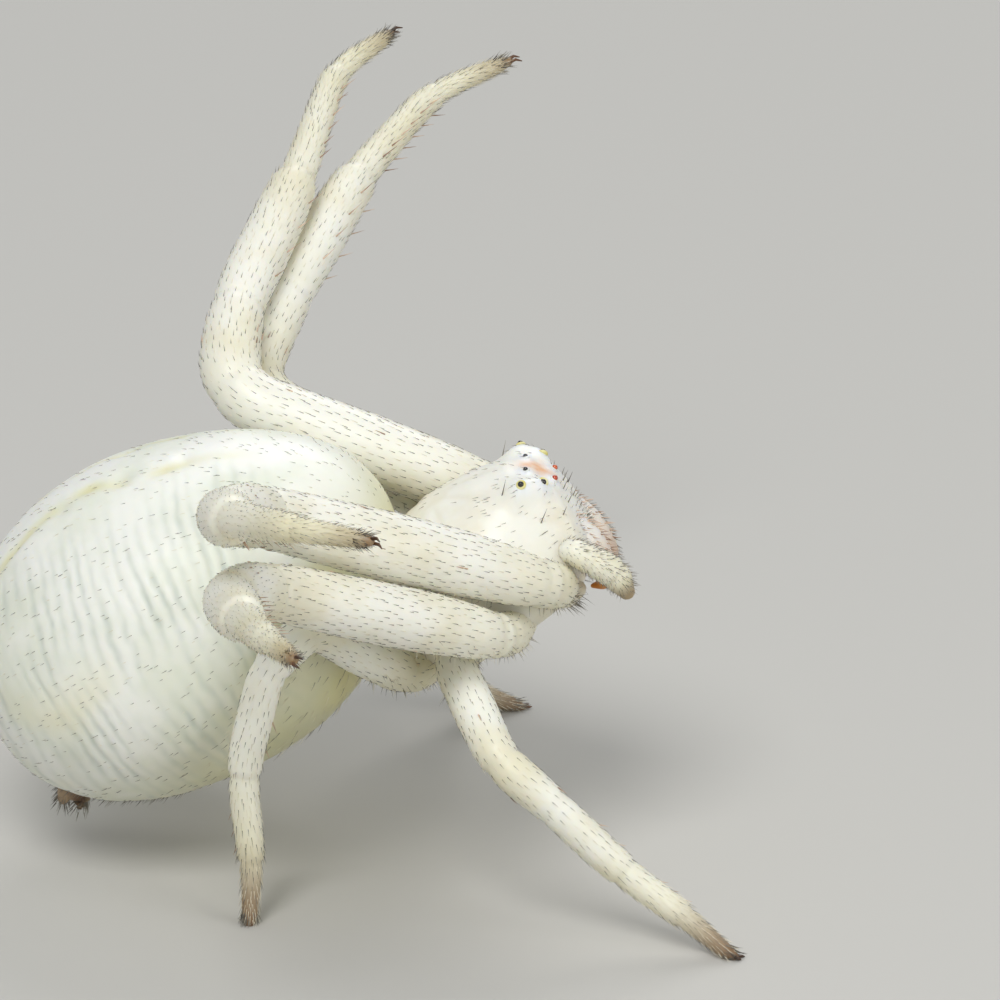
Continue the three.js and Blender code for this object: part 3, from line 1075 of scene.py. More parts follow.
    def claws(self) -> None:
        """Two curved claws at the leg's tip."""
        bm = bmesh.new()
        middle, tangent, _, _ = self.limb.line.axes(self.limb.line.end)
        curl = Vector((0, 0, -1)) if self.stands else self.inside()
        curl = (curl - tangent * curl.dot(tangent)).normalized()
        across = tangent.cross(curl)
        for sign in (-1, 1):
            points = [
                middle + across * (0.035 * sign),
                middle + across * (0.06 * sign) + tangent * 0.13 - curl * 0.02,
                middle + across * (0.07 * sign) + tangent * 0.22 + curl * 0.05,
            ]
            for p in points:
                p.z = max(p.z, self.claw_lowest)
            add_tube(bm, points, self.claw_radii, self.claw_sides)
        placed(f"{self.limb.name}_claws", bm, CLAW, [])

    def brush(self, dark: Coat) -> None:
        """The brush of setae round the claws.

        Args:
            dark: Takes them.
        """
        draw = self.seeded(30)
        line = self.limb.line
        ahead = line.axes(line.end)[1]
        for _ in range(self.brush_count):
            turn = FULL_TURN * draw.random()
            s = line.end - self.brush_reach * draw.random()
            point, out, _ = self.limb.surface(s, turn)
            aim = ahead + out * draw.uniform(0.2, 0.9)
            if point.z < 0.06 and self.stands:
                aim.z = abs(aim.z)
            dark.add(point, aim, draw.uniform(0.1, 0.2), 0.008, Vector(), self.limb.unwrap(s, turn))


# Abdomen.


@dataclass
class Abdomen:
    """The egg-shaped rear body with its creases, dimples and sparse setae.

    A dimple is its place ahead and to the side, its depth and its width.
    """

    columns: int = 216
    rows: int = 440
    coat_depth: float = 0.01
    crease_gap: float = 0.23
    crease_depth: float = 0.016
    ridge_place: float = 0.62
    ridge_width: float = 0.14
    ridge_depth: float = 0.035
    pleat_gap: float = 0.13
    pleat_spread: float = 0.32
    pleat_depth: float = 0.007
    dent_depth: float = 0.012
    dimples: tuple = (
        (0.33, 0.6, 0.07, 0.2), (1.35, 0.45, 0.035, 0.14), (-0.75, 0.68, 0.045, 0.16),
        (-1.7, 0.6, 0.03, 0.15),
    )
    waist: tuple = (2.9, -1.35, 0.55)
    seta_count: int = 2000
    seta_width: float = 0.005
    rear_count: int = 260
    rear_width: float = 0.0055
    golden_turn: float = 2.399963

    def shape(self, unit: Vector) -> Vector:
        """The smooth outline shared with the solid.

        Args:
            unit: A direction from the abdomen's middle.

        Returns:
            The point of the outline there, in the abdomen's axes.
        """
        angle = math.degrees(math.atan2(unit.z, unit.x))
        profile = math.hypot(unit.x, unit.z)
        turned = angle + 360 if angle < -68 else angle
        fade = max(0.0, min(1.0, (turned + 68) / 40, (292 - turned) / 40))
        full = 1 + ABDOMEN_FULLNESS * fade * profile * math.cos(3.4 * math.radians(turned - 11))
        spread = 1 - ABDOMEN_REAR_SPREAD * unit.x
        half = ABDOMEN_HALF
        return Vector((unit.x * full * half.x, unit.y * spread * half.y, unit.z * full * half.z))

    def outward(self, p: Vector) -> Vector:
        """The direction away from the abdomen at a point of its outline."""
        half = ABDOMEN_HALF
        return Vector((p.x / half.x**2, p.y / half.y**2, p.z / half.z**2)).normalized()

    def crack(self, p: Vector) -> float:
        """How deep in a crease of the flank a point lies.

        Args:
            p: A point on the smooth outline, in the abdomen's axes.

        Returns:
            From 0 to about 1.
        """
        flank = smooth(2.62, 1.9, abs(p.z)) * smooth(2.3, 0.9, p.x - 0.35 * p.z) * smooth(0.4, 1.1, abs(p.y))
        warp = 0.14 * noise.noise(p * 0.7) + 0.05 * noise.noise(p * 2.1) + 0.03 * noise.noise(p * 5.0)
        place = p.x - 0.04 * p.z * p.z + warp
        wave = 0.5 + 0.5 * math.cos(FULL_TURN * place / self.crease_gap)
        strength = 0.5 + 0.9 * noise.noise(Vector((place * 1.9, p.z * 0.9, p.y * 0.9)))
        return wave**1.6 * flank * max(0.0, min(1.0, strength)) * (0.75 + 0.5 * noise.noise(p * 6.0))

    def relief(self, p: Vector) -> tuple[float, float, float]:
        """Depth of creases, pleats and dimples at a point.

        Args:
            p: A point on the smooth outline, in the abdomen's axes.

        Returns:
            Depth in millimetres, how deep in a crease it is, and how far in the back's yellow furrow.
        """
        crack = self.crack(p)
        top = smooth(1.4, 2.2, p.z) * smooth(2.6, 1.2, p.x) * smooth(-3.4, -1.5, p.x)
        away = abs(p.y) - self.ridge_place - 0.08 * math.sin(p.x * 2.0) - 0.16 * noise.noise(p * 1.1)
        ridge = bump(away / self.ridge_width) * top * (0.55 + 0.9 * noise.noise(p * 2.3))
        pleat = math.cos(FULL_TURN * (abs(p.y) + 0.12 * noise.noise(p * 1.5)) / self.pleat_gap)
        pleat *= bump(away / self.pleat_spread) * top
        depth = self.crease_depth * crack + self.ridge_depth * ridge + self.pleat_depth * pleat
        if p.z > 0:
            for ahead, aside, deep, wide in self.dimples:
                depth += deep * bump(math.hypot(p.x - ahead, abs(p.y) - aside) / wide)
        depth += self.dent_depth * noise.noise(p * 1.7)
        return depth, crack, ridge

    def build(self) -> None:
        """Makes the skin with its markings, and its setae."""
        bm = bmesh.new()
        tint, stain, groove, yellow = add_marks(bm, "tint", "stain", "groove", "yellow")
        bmesh.ops.create_uvsphere(bm, u_segments=self.columns, v_segments=self.rows, radius=1.0)
        turn = Matrix.Rotation(math.radians(90), 3, "Y")
        waist_x, waist_z, waist_reach = self.waist
        for v in bm.verts:
            p = self.shape((turn @ v.co).normalized())
            depth, crack, ridge = self.relief(p)
            # Grey-green painted shade in the creases, stronger where the crease is deeper.
            v[groove] = 0.5 * crack
            fat = smooth(0.05, 0.5, noise.noise(p * 0.75 + Vector((3, 1, 7)))) * smooth(-1.2, 0.6, -p.z)
            v[yellow] = max(0.0, min(1.0, 0.6 * ridge + 0.6 * fat * (1 - 0.5 * crack)))
            # Greenish yellow towards the underside and the lower front: partly the skin's own colour, partly
            # painted shade.
            below = -p.z + 0.5 * p.x + 0.5 * noise.noise(p * 0.9)
            v[tint] = 0.62 * smooth(-0.2, 2.8, below) + 0.02
            near = bump(math.hypot(p.x - waist_x, p.z - waist_z) / waist_reach)
            v[stain] = 0.6 * near * smooth(1.3, 0.3, abs(p.y))
            v.co = ABDOMEN_AXES @ (p - self.outward(p) * (depth + self.coat_depth))
        placed("abdomen_skin", bm, SACK, ["abdomen"])
        dark = Coat("abdomen_setae", BRISTLE, "abdomen")
        down = Coat("abdomen_down", DOWN, "abdomen")
        draw = random.Random(5)
        self.hairs(dark, down, draw)
        self.rear_hairs(dark, draw)
        dark.build()
        down.build()

    def root(self, unit: Vector) -> tuple[Vector, Vector, Vector, tuple[float, float]]:
        """Where a seta leaves the skin.

        Args:
            unit: Its direction from the abdomen's middle.

        Returns:
            The point on the outline and the outward direction in the abdomen's axes, the root, and its
            place on the unwrap.
        """
        p = self.shape(unit)
        out = self.outward(p)
        root = ABDOMEN_AXES @ (p - out * (self.relief(p)[0] + self.coat_depth))
        round_it = math.atan2(unit.z, unit.y) / FULL_TURN
        return p, out, root, (round_it, math.acos(unit.x) / math.pi)

    def hairs(self, dark: Coat, down: Coat, draw: random.Random) -> None:
        """Sparse short setae, all pointing to the rear, longer and paler below.

        Args:
            dark: Takes the dark ones.
            down: Takes the pale ones.
            draw: The random numbers.
        """
        turn = ABDOMEN_AXES.to_3x3()
        rear = Vector((-1, 0, 0))
        for k in range(self.seta_count):
            ahead = 1 - 2 * (k + 0.5) / self.seta_count
            angle = k * self.golden_turn + draw.uniform(-0.3, 0.3)
            flat = math.sqrt(1 - ahead * ahead)
            unit = Vector((ahead, flat * math.cos(angle), flat * math.sin(angle)))
            p, out, root, uv = self.root(unit)
            back = rear - out * out.dot(rear)
            if back.length < 0.05:
                continue
            aim = back.normalized() + out * draw.uniform(0.2, 0.6)
            below = smooth(0.6, 2.2, -p.z) * smooth(-1.5, 1.0, p.x)
            length = draw.uniform(0.06, 0.11) + 0.14 * below
            part = down if draw.random() < 0.25 + 0.6 * below else dark
            part.add(root, turn @ aim, length, self.seta_width, turn @ (-out * 0.15), uv)

    def rear_hairs(self, dark: Coat, draw: random.Random) -> None:
        """Closer, longer setae in front of the spinnerets.

        Args:
            dark: Takes them.
            draw: The random numbers.
        """
        turn = ABDOMEN_AXES.to_3x3()
        for _ in range(self.rear_count):
            x = draw.uniform(-3.1, -1.3) / ABDOMEN_HALF.x
            y = draw.uniform(-0.9, 0.9) / ABDOMEN_HALF.y
            unit = Vector((x, y, -math.sqrt(max(0.0, 1 - x**2 - y**2))))
            _, out, root, uv = self.root(unit)
            aim = turn @ (Vector((-0.9, 0, 0)) + out * draw.uniform(0.3, 0.9))
            dark.add(root, aim, draw.uniform(0.1, 0.2), self.rear_width, turn @ (-out * 0.1), uv)


@dataclass
class Spinnerets:
    """The cluster of silk stubs under the abdomen's rear."""

    base: Vector = field(default_factory=lambda: Vector((-2.92, 0, -1.68)))
    aim: Vector = field(default_factory=lambda: Vector((-0.72, 0, -0.69)).normalized())
    base_radius: float = 0.34
    stubs: tuple = ((0.15, 0.14), (-0.14, 0.13))
    rings: tuple = ((0.0, 0.15), (0.2, 0.13), (0.33, 0.1), (0.4, 0.05))
    bristle_count: int = 40

    def build(self) -> None:
        """Makes the raised base, four stubs and their bristles."""
        coat = Coat("spinneret_setae", BRISTLE, "spinneret")
        bm = bmesh.new()
        bmesh.ops.create_uvsphere(bm, u_segments=32, v_segments=20, radius=self.base_radius)
        bmesh.ops.translate(bm, verts=bm.verts, vec=ABDOMEN_AXES @ self.base)
        draw = random.Random(9)
        for rise, spread in self.stubs:
            for side in Side:
                offset = self.base + Vector((-self.aim.z * rise, side.value * spread, self.aim.x * rise))
                spots = [ABDOMEN_AXES @ (offset + self.aim * along) for along, _ in self.rings]
                add_tube(bm, spots, [radius for _, radius in self.rings], 20)
                self.bristles(offset, coat, draw)
        placed("spinnerets_skin", bm, SPINNERET, ["spinnerets"])
        coat.build()

    def bristles(self, stub: Vector, coat: Coat, draw: random.Random) -> None:
        """Bristles round one stub.

        Args:
            stub: The stub's root, in the abdomen's axes.
            coat: Takes them.
            draw: The random numbers.
        """
        for _ in range(self.bristle_count):
            turn = draw.uniform(0, FULL_TURN)
            out = Vector((math.sin(turn) * self.aim.z, math.cos(turn), -math.sin(turn) * self.aim.x))
            root = ABDOMEN_AXES @ (stub + self.aim * draw.uniform(0.2, 0.46) + out * 0.1)
            tip = ABDOMEN_AXES.to_3x3() @ (self.aim + out * 0.5)
            coat.add(root, tip, draw.uniform(0.1, 0.2), 0.008, Vector(), (turn / FULL_TURN, 0.5))


# Head. The tables give the outline shared with the solid, by the place along the head's axis.

HEAD_WIDTH = (
    (-2.15, 0.5), (-1.9, 0.85), (-1.4, 1.35), (-0.8, 1.62), (-0.1, 1.7), (0.6, 1.55), (1.1, 1.25),
    (1.45, 1.06), (1.75, 0.9),
)
HEAD_TOP = (
    (-2.15, 0.35), (-1.9, 0.65), (-1.5, 1.2), (-1, 1.62), (-0.4, 1.8), (0.4, 1.84), (1, 1.76), (1.35, 1.58),
    (1.6, 1.25), (1.75, 0.85),
)
HEAD_UNDER = (
    (-2.15, -0.05), (-1.8, -0.45), (-1.2, -0.68), (0, -0.74), (0.9, -0.6), (1.3, -0.3), (1.75, 0.1),
)
HEAD_EDGE = 0.3
HEAD_SQUARENESS = 0.9


@dataclass(frozen=True)
class Eye:
    """One eye: the tubercle that it sits on, where that points, its size, its lens and its rim.

    The gaze is the lens's own direction where it isn't the tubercle's.
    """

    name: str
    mount: tuple[float, float, float]
    swell: float
    look: tuple[float, float, float]
    radius: float
    lens: Lens
    ring: Horn
    pupil: float = 0.62
    gaze: tuple[float, float, float] | None = None

    def seat(self, side: Side) -> tuple[Vector, Vector]:
        """The eye's centre and its tubercle's direction, in the head's axes."""
        aim = side.spot(*self.look).normalized()
        return side.spot(*self.mount) + aim * (self.swell - 0.02), aim

    def build(self, side: Side) -> None:
        """Makes a lens and the low ring that it sits in.

        Args:
            side: The side that it is on.
        """
        seat, _ = self.seat(side)
        out = HEAD_AXES.to_3x3() @ side.spot(*(self.gaze or self.look)).normalized()
        turn = Matrix.Translation(HEAD_AXES @ seat) @ out.to_track_quat("Z", "Y").to_matrix().to_4x4()
        for part, finish, radius, flat, lift, nodes in (
            ("lens", self.lens, self.radius * self.pupil, (1, 1, 1), 0.12, [f"eye_{self.name}_{side.word}"]),
            ("ring", self.ring, self.radius, (1.02, 1.02, 0.46), -0.22, []),
        ):
            bm = bmesh.new()
            bmesh.ops.create_uvsphere(bm, u_segments=32, v_segments=20, radius=radius)
            bmesh.ops.scale(bm, verts=bm.verts, vec=flat)
            bmesh.ops.translate(bm, verts=bm.verts, vec=(0, 0, self.radius * lift))
            bmesh.ops.transform(bm, matrix=turn, verts=bm.verts)
            placed(f"{part}_{self.name}_{side.word}", bm, finish, nodes)


EYES = (
    Eye("anterior_median", (1.5, 0.22, 1.2), 0.16, (1, 0.15, 0.5), 0.065, RED_EYE, MILK_RING, 0.75),
    Eye("anterior_lateral", (1.38, 0.6, 1.34), 0.2, (0.75, 0.5, 0.55), 0.085, BLACK_EYE, EYE_RIM,
        gaze=(0.35, 0.85, 0.4)),
    Eye("posterior_median", (1.27, 0.28, 1.5), 0.15, (0.25, 0.2, 1), 0.065, BLACK_EYE, MILK_RING),
    Eye("posterior_lateral", (1.19, 0.76, 1.49), 0.26, (0.15, 0.75, 0.65), 0.08, BLACK_EYE, EYE_RIM),
)

# Long bristles: forward, outward, up, and length.
LONG_BRISTLES = (
    (0.9, 0.78, 1.5, 0.3), (1.2, 1.02, 0.95, 0.3), (0.55, 1.4, 0.5, 0.2), (0.95, 1.3, 0.35, 0.26),
    (1.55, 0.2, 1.0, 0.2), (1.62, 0.45, 0.85, 0.2), (1.45, 0.75, 0.8, 0.18), (1.6, 0.0, 0.75, 0.18),
)


@dataclass
class Head:
    """Carapace and sternum in one skin, with the eyes on their tubercles."""

    columns: int = 150
    rows: int = 130
    end_share: float = 0.35
    end_fullness: float = 0.7
    smoothings: int = 6
    eye_sink: float = 0.12
    tubercle_spread: float = 1.05
    milk_reach: float = 0.2
    brow: tuple = (1.44, 1.5)
    brow_reach: tuple = (0.3, 0.3, 0.4)
    fovea: float = -0.35
    furrow_count: float = 4.5
    furrow_depth: float = 0.02
    flow_depth: float = 0.008
    seta_count: int = 460
    unwrap_start: float = -2.2
    unwrap_length: float = 4.2

    def shape(self, x: float, angle: float, share: float) -> Vector:
        """The smooth outline shared with the solid.

        Args:
            x: The place along the head's axis.
            angle: The turn round it, from straight up.
            share: How far out from the middle, from 0 to 1.

        Returns:
            The point in the head's axes.
        """
        rise = math.cos(angle)
        top = blend(HEAD_TOP, x)
        under = blend(HEAD_UNDER, x)
        edge = under + (top - under) * HEAD_EDGE
        lateral = math.copysign(abs(math.sin(angle)) ** HEAD_SQUARENESS, math.sin(angle))
        up = edge + (top - edge) * rise**HEAD_SQUARENESS if rise > 0 else edge + (edge - under) * rise
        return Vector((x, -lateral * blend(HEAD_WIDTH, x) * share, edge + (up - edge) * share))

    def build(self) -> None:
        """Makes the skin, its setae and the eyes."""
        coat = Coat("carapace_setae", BRISTLE, "carapace")
        bm = bmesh.new()
        tint, blush, milk = add_marks(bm, "tint", "blush", "milk")
        bmesh.ops.create_uvsphere(bm, u_segments=self.columns, v_segments=self.rows, radius=1.0)
        low, high = HEAD_WIDTH[0][0], HEAD_WIDTH[-1][0]
        for v in bm.verts:
            polar = math.acos(max(-1.0, min(1.0, v.co.z)))
            x = low + (high - low) * (1 - math.cos(polar)) / 2
            share = min(1.0, math.sin(polar) / self.end_share) ** self.end_fullness
            v.co = self.shape(x, math.atan2(v.co.y, v.co.x), share)
        axes = {"use_axis_x": True, "use_axis_y": True, "use_axis_z": True}
        for _ in range(self.smoothings):
            bmesh.ops.smooth_vert(bm, verts=bm.verts, factor=0.5, **axes)
        seats = [eye.seat(side)[0] for eye in EYES for side in Side]
        for v, spot in zip(bm.verts, self.with_tubercles(bm)):
            p = Vector(spot)
            p -= p.normalized() * self.furrow(p)
            # Yellowish colour, slight all over, stronger as painted shade on the lower flanks and in the
            # furrows.
            flank = smooth(1.0, 0.0, p.z) * smooth(0.3, 1.2, abs(p.y))
            v[tint] = 0.05 + 0.35 * flank + 8.0 * self.furrow(p)
            v[blush] = self.brow_blush(p)
            v[milk] = max(0.8 * bump((p - seat).length / self.milk_reach) for seat in seats)
            v.co = HEAD_AXES @ p
        bmesh.ops.recalc_face_normals(bm, faces=bm.faces)
        self.hairs(bm, coat)
        placed("carapace_skin", bm, SHIELD, ["carapace", "sternum"])
        coat.build()
        for eye in EYES:
            for side in Side:
                eye.build(side)

    def with_tubercles(self, bm: bmesh.types.BMesh) -> np.ndarray:
        """Draws the skin out to a low mound under each eye.

        Args:
            bm: The smooth skin.

        Returns:
            Its points, moved.
        """
        spots = np.array([v.co[:] for v in bm.verts])
        moved = np.zeros_like(spots)
        for eye in EYES:
            for side in Side:
                seat, aim = eye.seat(side)
                target = np.array((seat - aim * (eye.radius * self.eye_sink))[:])
                near = spots[np.argmin(((spots - target) ** 2).sum(axis=1))]
                reach = eye.swell * self.tubercle_spread
                fall = np.exp(-((spots - near) ** 2).sum(axis=1) / reach**2)
                moved += fall[:, None] * (target - near)[None]
        return spots + moved

    def brow_blush(self, p: Vector) -> float:
        """How orange the skin is between the eyes.

        Args:
            p: A point of the skin, in the head's axes.

        Returns:
            From 0 to 0.9.
        """
        ahead = (p.x - self.brow[0]) / self.brow_reach[0]
        aside = p.y / (self.brow_reach[1] + 0.08 * noise.noise(p * 6.0))
        up = (p.z - self.brow[1]) / self.brow_reach[2]
        patchy = min(0.9, 0.75 + 0.6 * noise.noise(p * 9.0))
        return patchy * math.exp(-(math.hypot(ahead, aside, up) ** 3))

    def furrow(self, p: Vector) -> float:
        """Depth of the shallow furrows that spread from the middle of the carapace.

        Args:
            p: A point of the skin, in the head's axes.

        Returns:
            The depth in millimetres.
        """
        ahead = p.x - self.fovea
        away = math.hypot(ahead, p.y)
        turn = math.atan2(abs(p.y), ahead) + 0.12 * noise.noise(p * 2.0)
        ray = math.cos(turn * self.furrow_count) ** 12
        disc = smooth(0.25, 0.6, away) * smooth(1.5, 1.0, away)
        top = smooth(0.6, 1.1, p.z) * smooth(1.2, 0.7, p.x)
        flow = 0.5 + 0.5 * noise.noise(Vector((p.x * 2.0, p.y * 7.0, p.z * 7.0)))
        return self.furrow_depth * ray * disc * top + self.flow_depth * flow * smooth(0.2, 0.8, p.z)

    def unwrap(self, p: Vector) -> tuple[float, float]:
        """The place of a point on the unwrap of the skin: round it and along it."""
        return math.atan2(p.y, p.z) / FULL_TURN, (p.x - self.unwrap_start) / self.unwrap_length

    def hairs(self, bm: bmesh.types.BMesh, coat: Coat) -> None:
        """Sparse leaning setae, and a few long upright bristles beside the eyes.

        Args:
            bm: The finished skin, in millimetres.
            coat: Takes them all.
        """
        draw = random.Random(3)
        bm.normal_update()
        inside = HEAD_AXES.inverted()
        turn = HEAD_AXES.to_3x3()
        rearward = turn @ Vector((-1, 0, 0))
        roots = [(v, inside @ v.co) for v in bm.verts]
        upper = [(v, p) for v, p in roots if p.z > 0.25 and p.x > -1.9]
        for v, p in draw.sample(upper, self.seta_count):
            if p.x > 1.3 and abs(p.y) < 0.35 and p.z > 1.2:
                continue
            aim = rearward - v.normal * rearward.dot(v.normal) + v.normal * draw.uniform(0.15, 0.5)
            length = draw.uniform(0.07, 0.12)
            coat.add(v.co.copy(), aim, length, 0.005, -v.normal * 0.1, self.unwrap(p))
        for x, y, z, length in LONG_BRISTLES:
            for side in Side:
                spot = side.spot(x, y, z)
                v, p = min(roots, key=lambda root: (root[1] - spot).length)
                aim = turn @ side.spot(0.8, 0.1, 0.75) + v.normal * 0.2
                coat.add(v.co.copy(), aim, length, 0.011, Vector(), self.unwrap(p))


# Mouth. Paths are in the head's axes, and radii are spaced evenly along them, as in the solids.

CHELICERA_PATH = ((1.3, 0.42, 0.64), (1.54, 0.42, 0.14), (1.66, 0.39, -0.4))
CHELICERA_RADII = (0.34, 0.36, 0.35, 0.3, 0.22)
FANG_PATH = ((1.64, 0.37, -0.57), (1.5, 0.34, -0.63), (1.32, 0.25, -0.61))
FANG_RADII = (0.1, 0.095, 0.04)
PALP_PATHS = {
    Side.RIGHT: (
        (1.25, 0.92, 0.38), (1.43, 1.1, 0.36), (1.65, 1.16, 0.07), (1.86, 1.12, -0.27), (1.87, 1.02, -0.68),
    ),
    Side.LEFT: (
        (1.28, 0.93, 0.36), (1.4, 1.08, 0.32), (1.52, 1.12, -0.02), (1.57, 1.04, -0.42), (1.52, 0.9, -0.8),
    ),
}
PALP_RADII = (0.12, 0.18, 0.21, 0.22, 0.24, 0.25, 0.22, 0.14)
PALP_FOLDS = ((1.0, 0.02, 0.03), (2.0, 0.025, 0.03), (3.0, 0.03, 0.03))
ENDITE_PATH = ((0.62, 0.42, -0.45), (0.86, 0.38, -0.52), (1.08, 0.3, -0.53))
ENDITE_RADII = (0.14, 0.19, 0.15)
LABIUM_PATH = ((0.6, 0, -0.55), (0.98, 0, -0.6))
LABIUM_RADII = (0.2, 0.17)


def head_limb(name: str, path: tuple, radii: tuple, side: Side, **settings: object) -> Limb:
    """A short limb in the head's axes.

    Args:
        name: The limb's name.
        path: Points of its middle.
        radii: Radii spaced evenly along it.
        side: The side that it is on.
        **settings: The limb's other fields.

    Returns:
        The limb.
    """
    points = [HEAD_AXES @ side.spot(*spot) for spot in path]
    last = len(path) - 1
    table = tuple((i * last / (len(radii) - 1), r) for i, r in enumerate(radii))
    return Limb(name, CentreLine(points), table, **settings)


@dataclass(frozen=True)
class Bristling:
    """How bristles are scattered over a limb: their gap, mean length and width at the root."""

    gap: float
    length: float
    width: float
    start: float = 0.12
    bare_tip: float = 0.02
    frontal: float = 0.25
    smaller: float = 0.7

    def scatter(self, limb: Limb, front: Coat, rest: Coat) -> None:
        """Scatters bristles over a limb.

        Args:
            limb: The limb that carries them.
            front: Takes those that face forwards, at full size.
            rest: Takes the others, which are smaller.
        """
        draw = random.Random(limb.name)
        ahead = HEAD_AXES.to_3x3() @ Vector((1, 0, 0))
        s = self.start
        while s < limb.line.end - self.bare_tip:
            count = max(5, round(FULL_TURN * blend(limb.table, limb.line.share(s)) / self.gap))
            for k in range(count):
                turn = FULL_TURN * (k + draw.random()) / count
                point, out, tangent = limb.surface(s + draw.uniform(-0.4, 0.4) * self.gap, turn)
                facing = out.dot(ahead) > self.frontal
                coat = front if facing else rest
                size = 1.0 if facing else self.smaller
                aim = tangent * 0.8 + out * draw.uniform(0.6, 1.1)
                length = self.length * size * draw.uniform(0.7, 1.3)
                coat.add(point, aim, length, self.width * size, Vector(), limb.unwrap(s, turn))
            s += self.gap


@dataclass
class Mouth:
    """Chelicerae with fangs, palps, endites and labium, with their bristles."""

    jaw_bristles: Bristling = Bristling(0.125, 0.13, 0.0125)
    palp_bristles: Bristling = Bristling(0.07, 0.11, 0.0065)
    endite_bristles: Bristling = Bristling(0.07, 0.17, 0.006)
    scopula_count: int = 70
    scopula_width: float = 0.007

    def build(self) -> None:
        """Makes both sides of the mouth, and the endites and the labium as one piece."""
        parts = bmesh.new()
        brush = Coat("mouthparts_setae", BRISTLE, "mouth")
        for side in Side:
            coats = [*self.chelicera(side), self.palp(side)]
            endite = head_limb(
                f"endite_{side.word}", ENDITE_PATH, ENDITE_RADII, side, sides=20, spacing=0.04,
                tint=((0, 0.1), (2, 0.3)), stain=((0, 0), (2, 0.1)),
            )
            self.endite_bristles.scatter(endite, brush, brush)
            self.scopula(endite, brush)
            join(parts, endite.skin())
            for coat in coats:
                coat.build()
        labium = head_limb("labium", LABIUM_PATH, LABIUM_RADII, Side.LEFT, sides=20, spacing=0.04)
        join(parts, labium.skin())
        placed("mouthparts_skin", parts, SHIELD, ["mouthparts"])
        brush.build()

    def chelicera(self, side: Side) -> tuple[Coat, Coat]:
        """Makes one chelicera and its fang.

        Args:
            side: The side that it is on.

        Returns:
            Its stout and its fine bristles, still to be built.
        """
        jaw = head_limb(
            f"chelicera_{side.word}", CHELICERA_PATH, CHELICERA_RADII, side, sides=32, spacing=0.04,
            tint=((0, 0.05), (1, 0.15), (2, 0.7)), stain=((0, 0), (1.7, 0.0), (2, 0.2)),
        )
        placed(f"{jaw.name}_skin", jaw.skin(), JAW, [jaw.name])
        stout = Coat(f"{jaw.name}_spines", SPINE, "chelicera")
        fine = Coat(f"{jaw.name}_setae", BRISTLE, "chelicera")
        self.jaw_bristles.scatter(jaw, stout, fine)
        fang = head_limb(f"fang_{side.word}", FANG_PATH, FANG_RADII, side, sides=16, spacing=0.03)
        placed(f"{fang.name}_horn", fang.skin(), BROWN, [fang.name])
        return stout, fine

    def palp(self, side: Side) -> Coat:
        """Makes one palp.

        Args:
            side: The side that it is on.

        Returns:
            Its bristles, still to be built.
        """
        palp = head_limb(
            f"palp_{side.word}", PALP_PATHS[side], PALP_RADII, side, spacing=0.03, folds=PALP_FOLDS,
            tint=((0, 0.25), (1, 0.05), (3, 0.25), (4, 0.8)),
            stain=((0, 0), (3.3, 0.0), (3.8, 0.5), (4, 0.65)),
        )
        placed(f"{palp.name}_skin", palp.skin(), WAX, [palp.name])
        hairs = Coat(f"{palp.name}_setae", BRISTLE, "palp")
        self.palp_bristles.scatter(palp, hairs, hairs)
        return hairs

    def scopula(self, endite: Limb, coat: Coat) -> None:
        """The brush of long hairs under the outer half of an endite.

        Args:
            endite: The endite.
            coat: Takes the hairs.
        """
        draw = random.Random(endite.name + "brush")
        for _ in range(self.scopula_count):
            s = endite.line.end * draw.uniform(0.45, 1.0)
            turn = draw.uniform(0, FULL_TURN)
            point, out, tangent = endite.surface(s, turn)
            if out.z > -0.1:
                continue
            aim = out + tangent * draw.uniform(0.2, 0.9) + Vector((0.5, 0, -0.3))
            length = draw.uniform(0.14, 0.27)
            coat.add(point, aim, length, self.scopula_width, Vector((0, 0, -0.1)), endite.unwrap(s, turn))


# Studio.


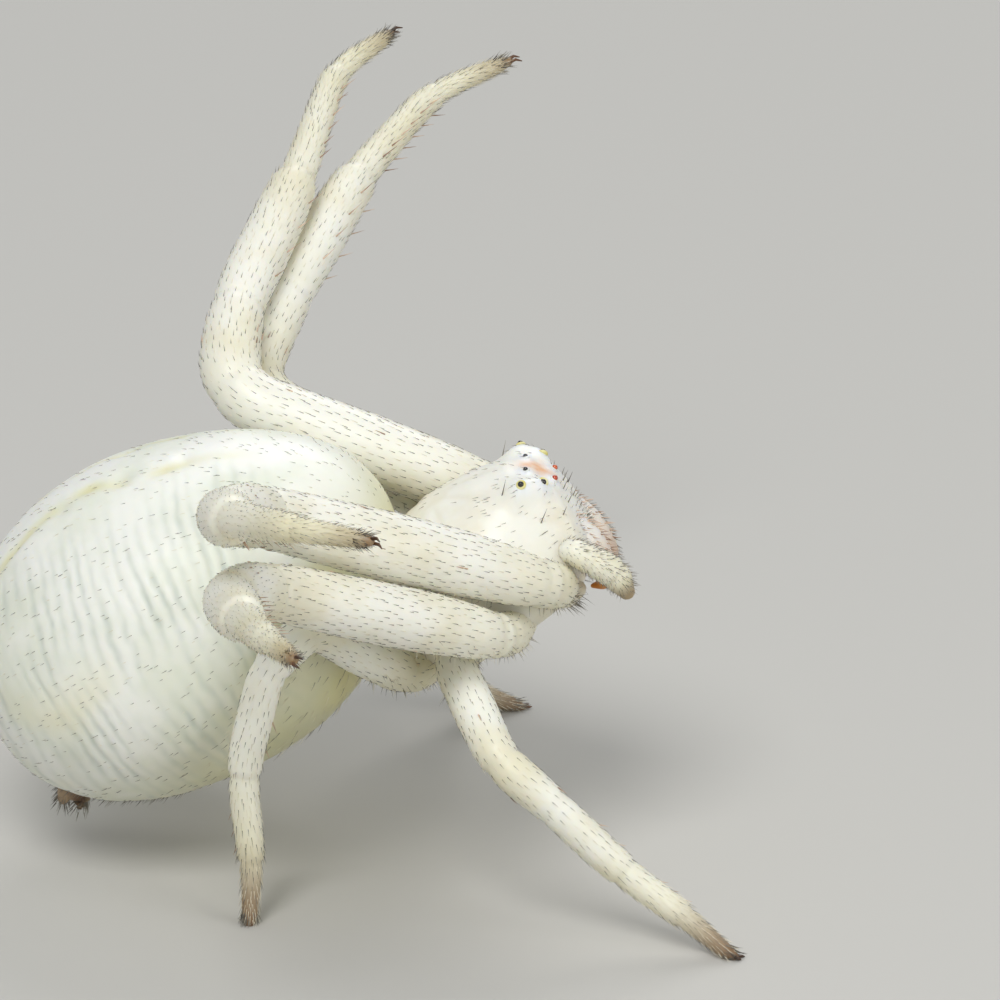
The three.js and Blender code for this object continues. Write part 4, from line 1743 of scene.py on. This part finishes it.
@dataclass
class Studio:
    """Pale floor, soft lights and the camera at the photograph's angle.

    A lamp is its name, its place and width in metres and its power in watts. The camera's target, distance
    and view width are in millimetres.
    """

    floor_half: float = 0.6
    lamps: tuple = (
        ("key", (-0.03, -0.09, 0.13), 0.08, 0.15),
        ("fill", (0.12, -0.08, 0.06), 0.1, 0.06),
        ("back", (0.02, 0.12, 0.1), 0.09, 0.06),
    )
    lit_spot: Vector = field(default_factory=lambda: Vector((0, 0, 0.004)))
    sky: str = "dfe3e8"
    sky_strength: float = 0.45
    target: Vector = field(default_factory=lambda: Vector((-0.016, 0.0, 5.748)) + CENTRE_SHIFT)
    distance: float = 160.0
    elevation: float = 20.0
    view_width: float = 15.75
    sensor: float = 36.0
    clip: tuple[float, float] = (0.005, 10.0)

    def build(self) -> None:
        """Sets the stage."""
        bm = bmesh.new()
        bmesh.ops.create_grid(bm, x_segments=1, y_segments=1, size=self.floor_half)
        mesh = bpy.data.meshes.new("floor")
        bm.to_mesh(mesh)
        bm.free()
        floor = shown("floor", mesh, Ground())
        for name, place, width, power in self.lamps:
            self.lamp(name, place, width, power)
        world = bpy.data.worlds.new("studio")
        world.use_nodes = True
        sky = world.node_tree.nodes["Background"]
        sky.inputs["Color"].default_value = linear(self.sky)
        sky.inputs["Strength"].default_value = self.sky_strength
        bpy.context.scene.world = world
        bpy.context.scene.view_settings.view_transform = "Standard"
        self.camera()

    def lamp(self, name: str, place: tuple, width: float, power: float) -> None:
        """Adds a soft lamp aimed at the spider.

        Args:
            name: The lamp's name.
            place: Its place.
            width: Its width.
            power: Its power.
        """
        light = bpy.data.lights.new(name, "AREA")
        light.shape = "DISK"
        light.size = width
        light.energy = power
        lamp = bpy.data.objects.new(name, light)
        lamp.location = place
        lamp.rotation_euler = (self.lit_spot - Vector(place)).to_track_quat("-Z", "Y").to_euler()
        bpy.context.scene.collection.objects.link(lamp)

    def camera(self) -> None:
        """Places the camera."""
        data = bpy.data.cameras.new("camera")
        data.sensor_width = self.sensor
        data.lens = self.sensor * self.distance / self.view_width
        data.clip_start, data.clip_end = self.clip
        camera = bpy.data.objects.new("camera", data)
        tilt = math.radians(self.elevation)
        ahead = Vector((0, math.cos(tilt), -math.sin(tilt)))
        camera.location = (self.target - ahead * self.distance) * MM
        camera.rotation_euler = ahead.to_track_quat("-Z", "Y").to_euler()
        bpy.context.scene.collection.objects.link(camera)
        bpy.context.scene.camera = camera


def main() -> None:
    """Builds the spider and its stage, piece by piece."""
    for pair in SEGMENTS:
        for side in Side:
            Leg(side, pair).build()
    for part in (Abdomen(), Head(), Mouth(), Spinnerets()):
        part.build()
    Studio().build()


if __name__ == "__main__":
    main()
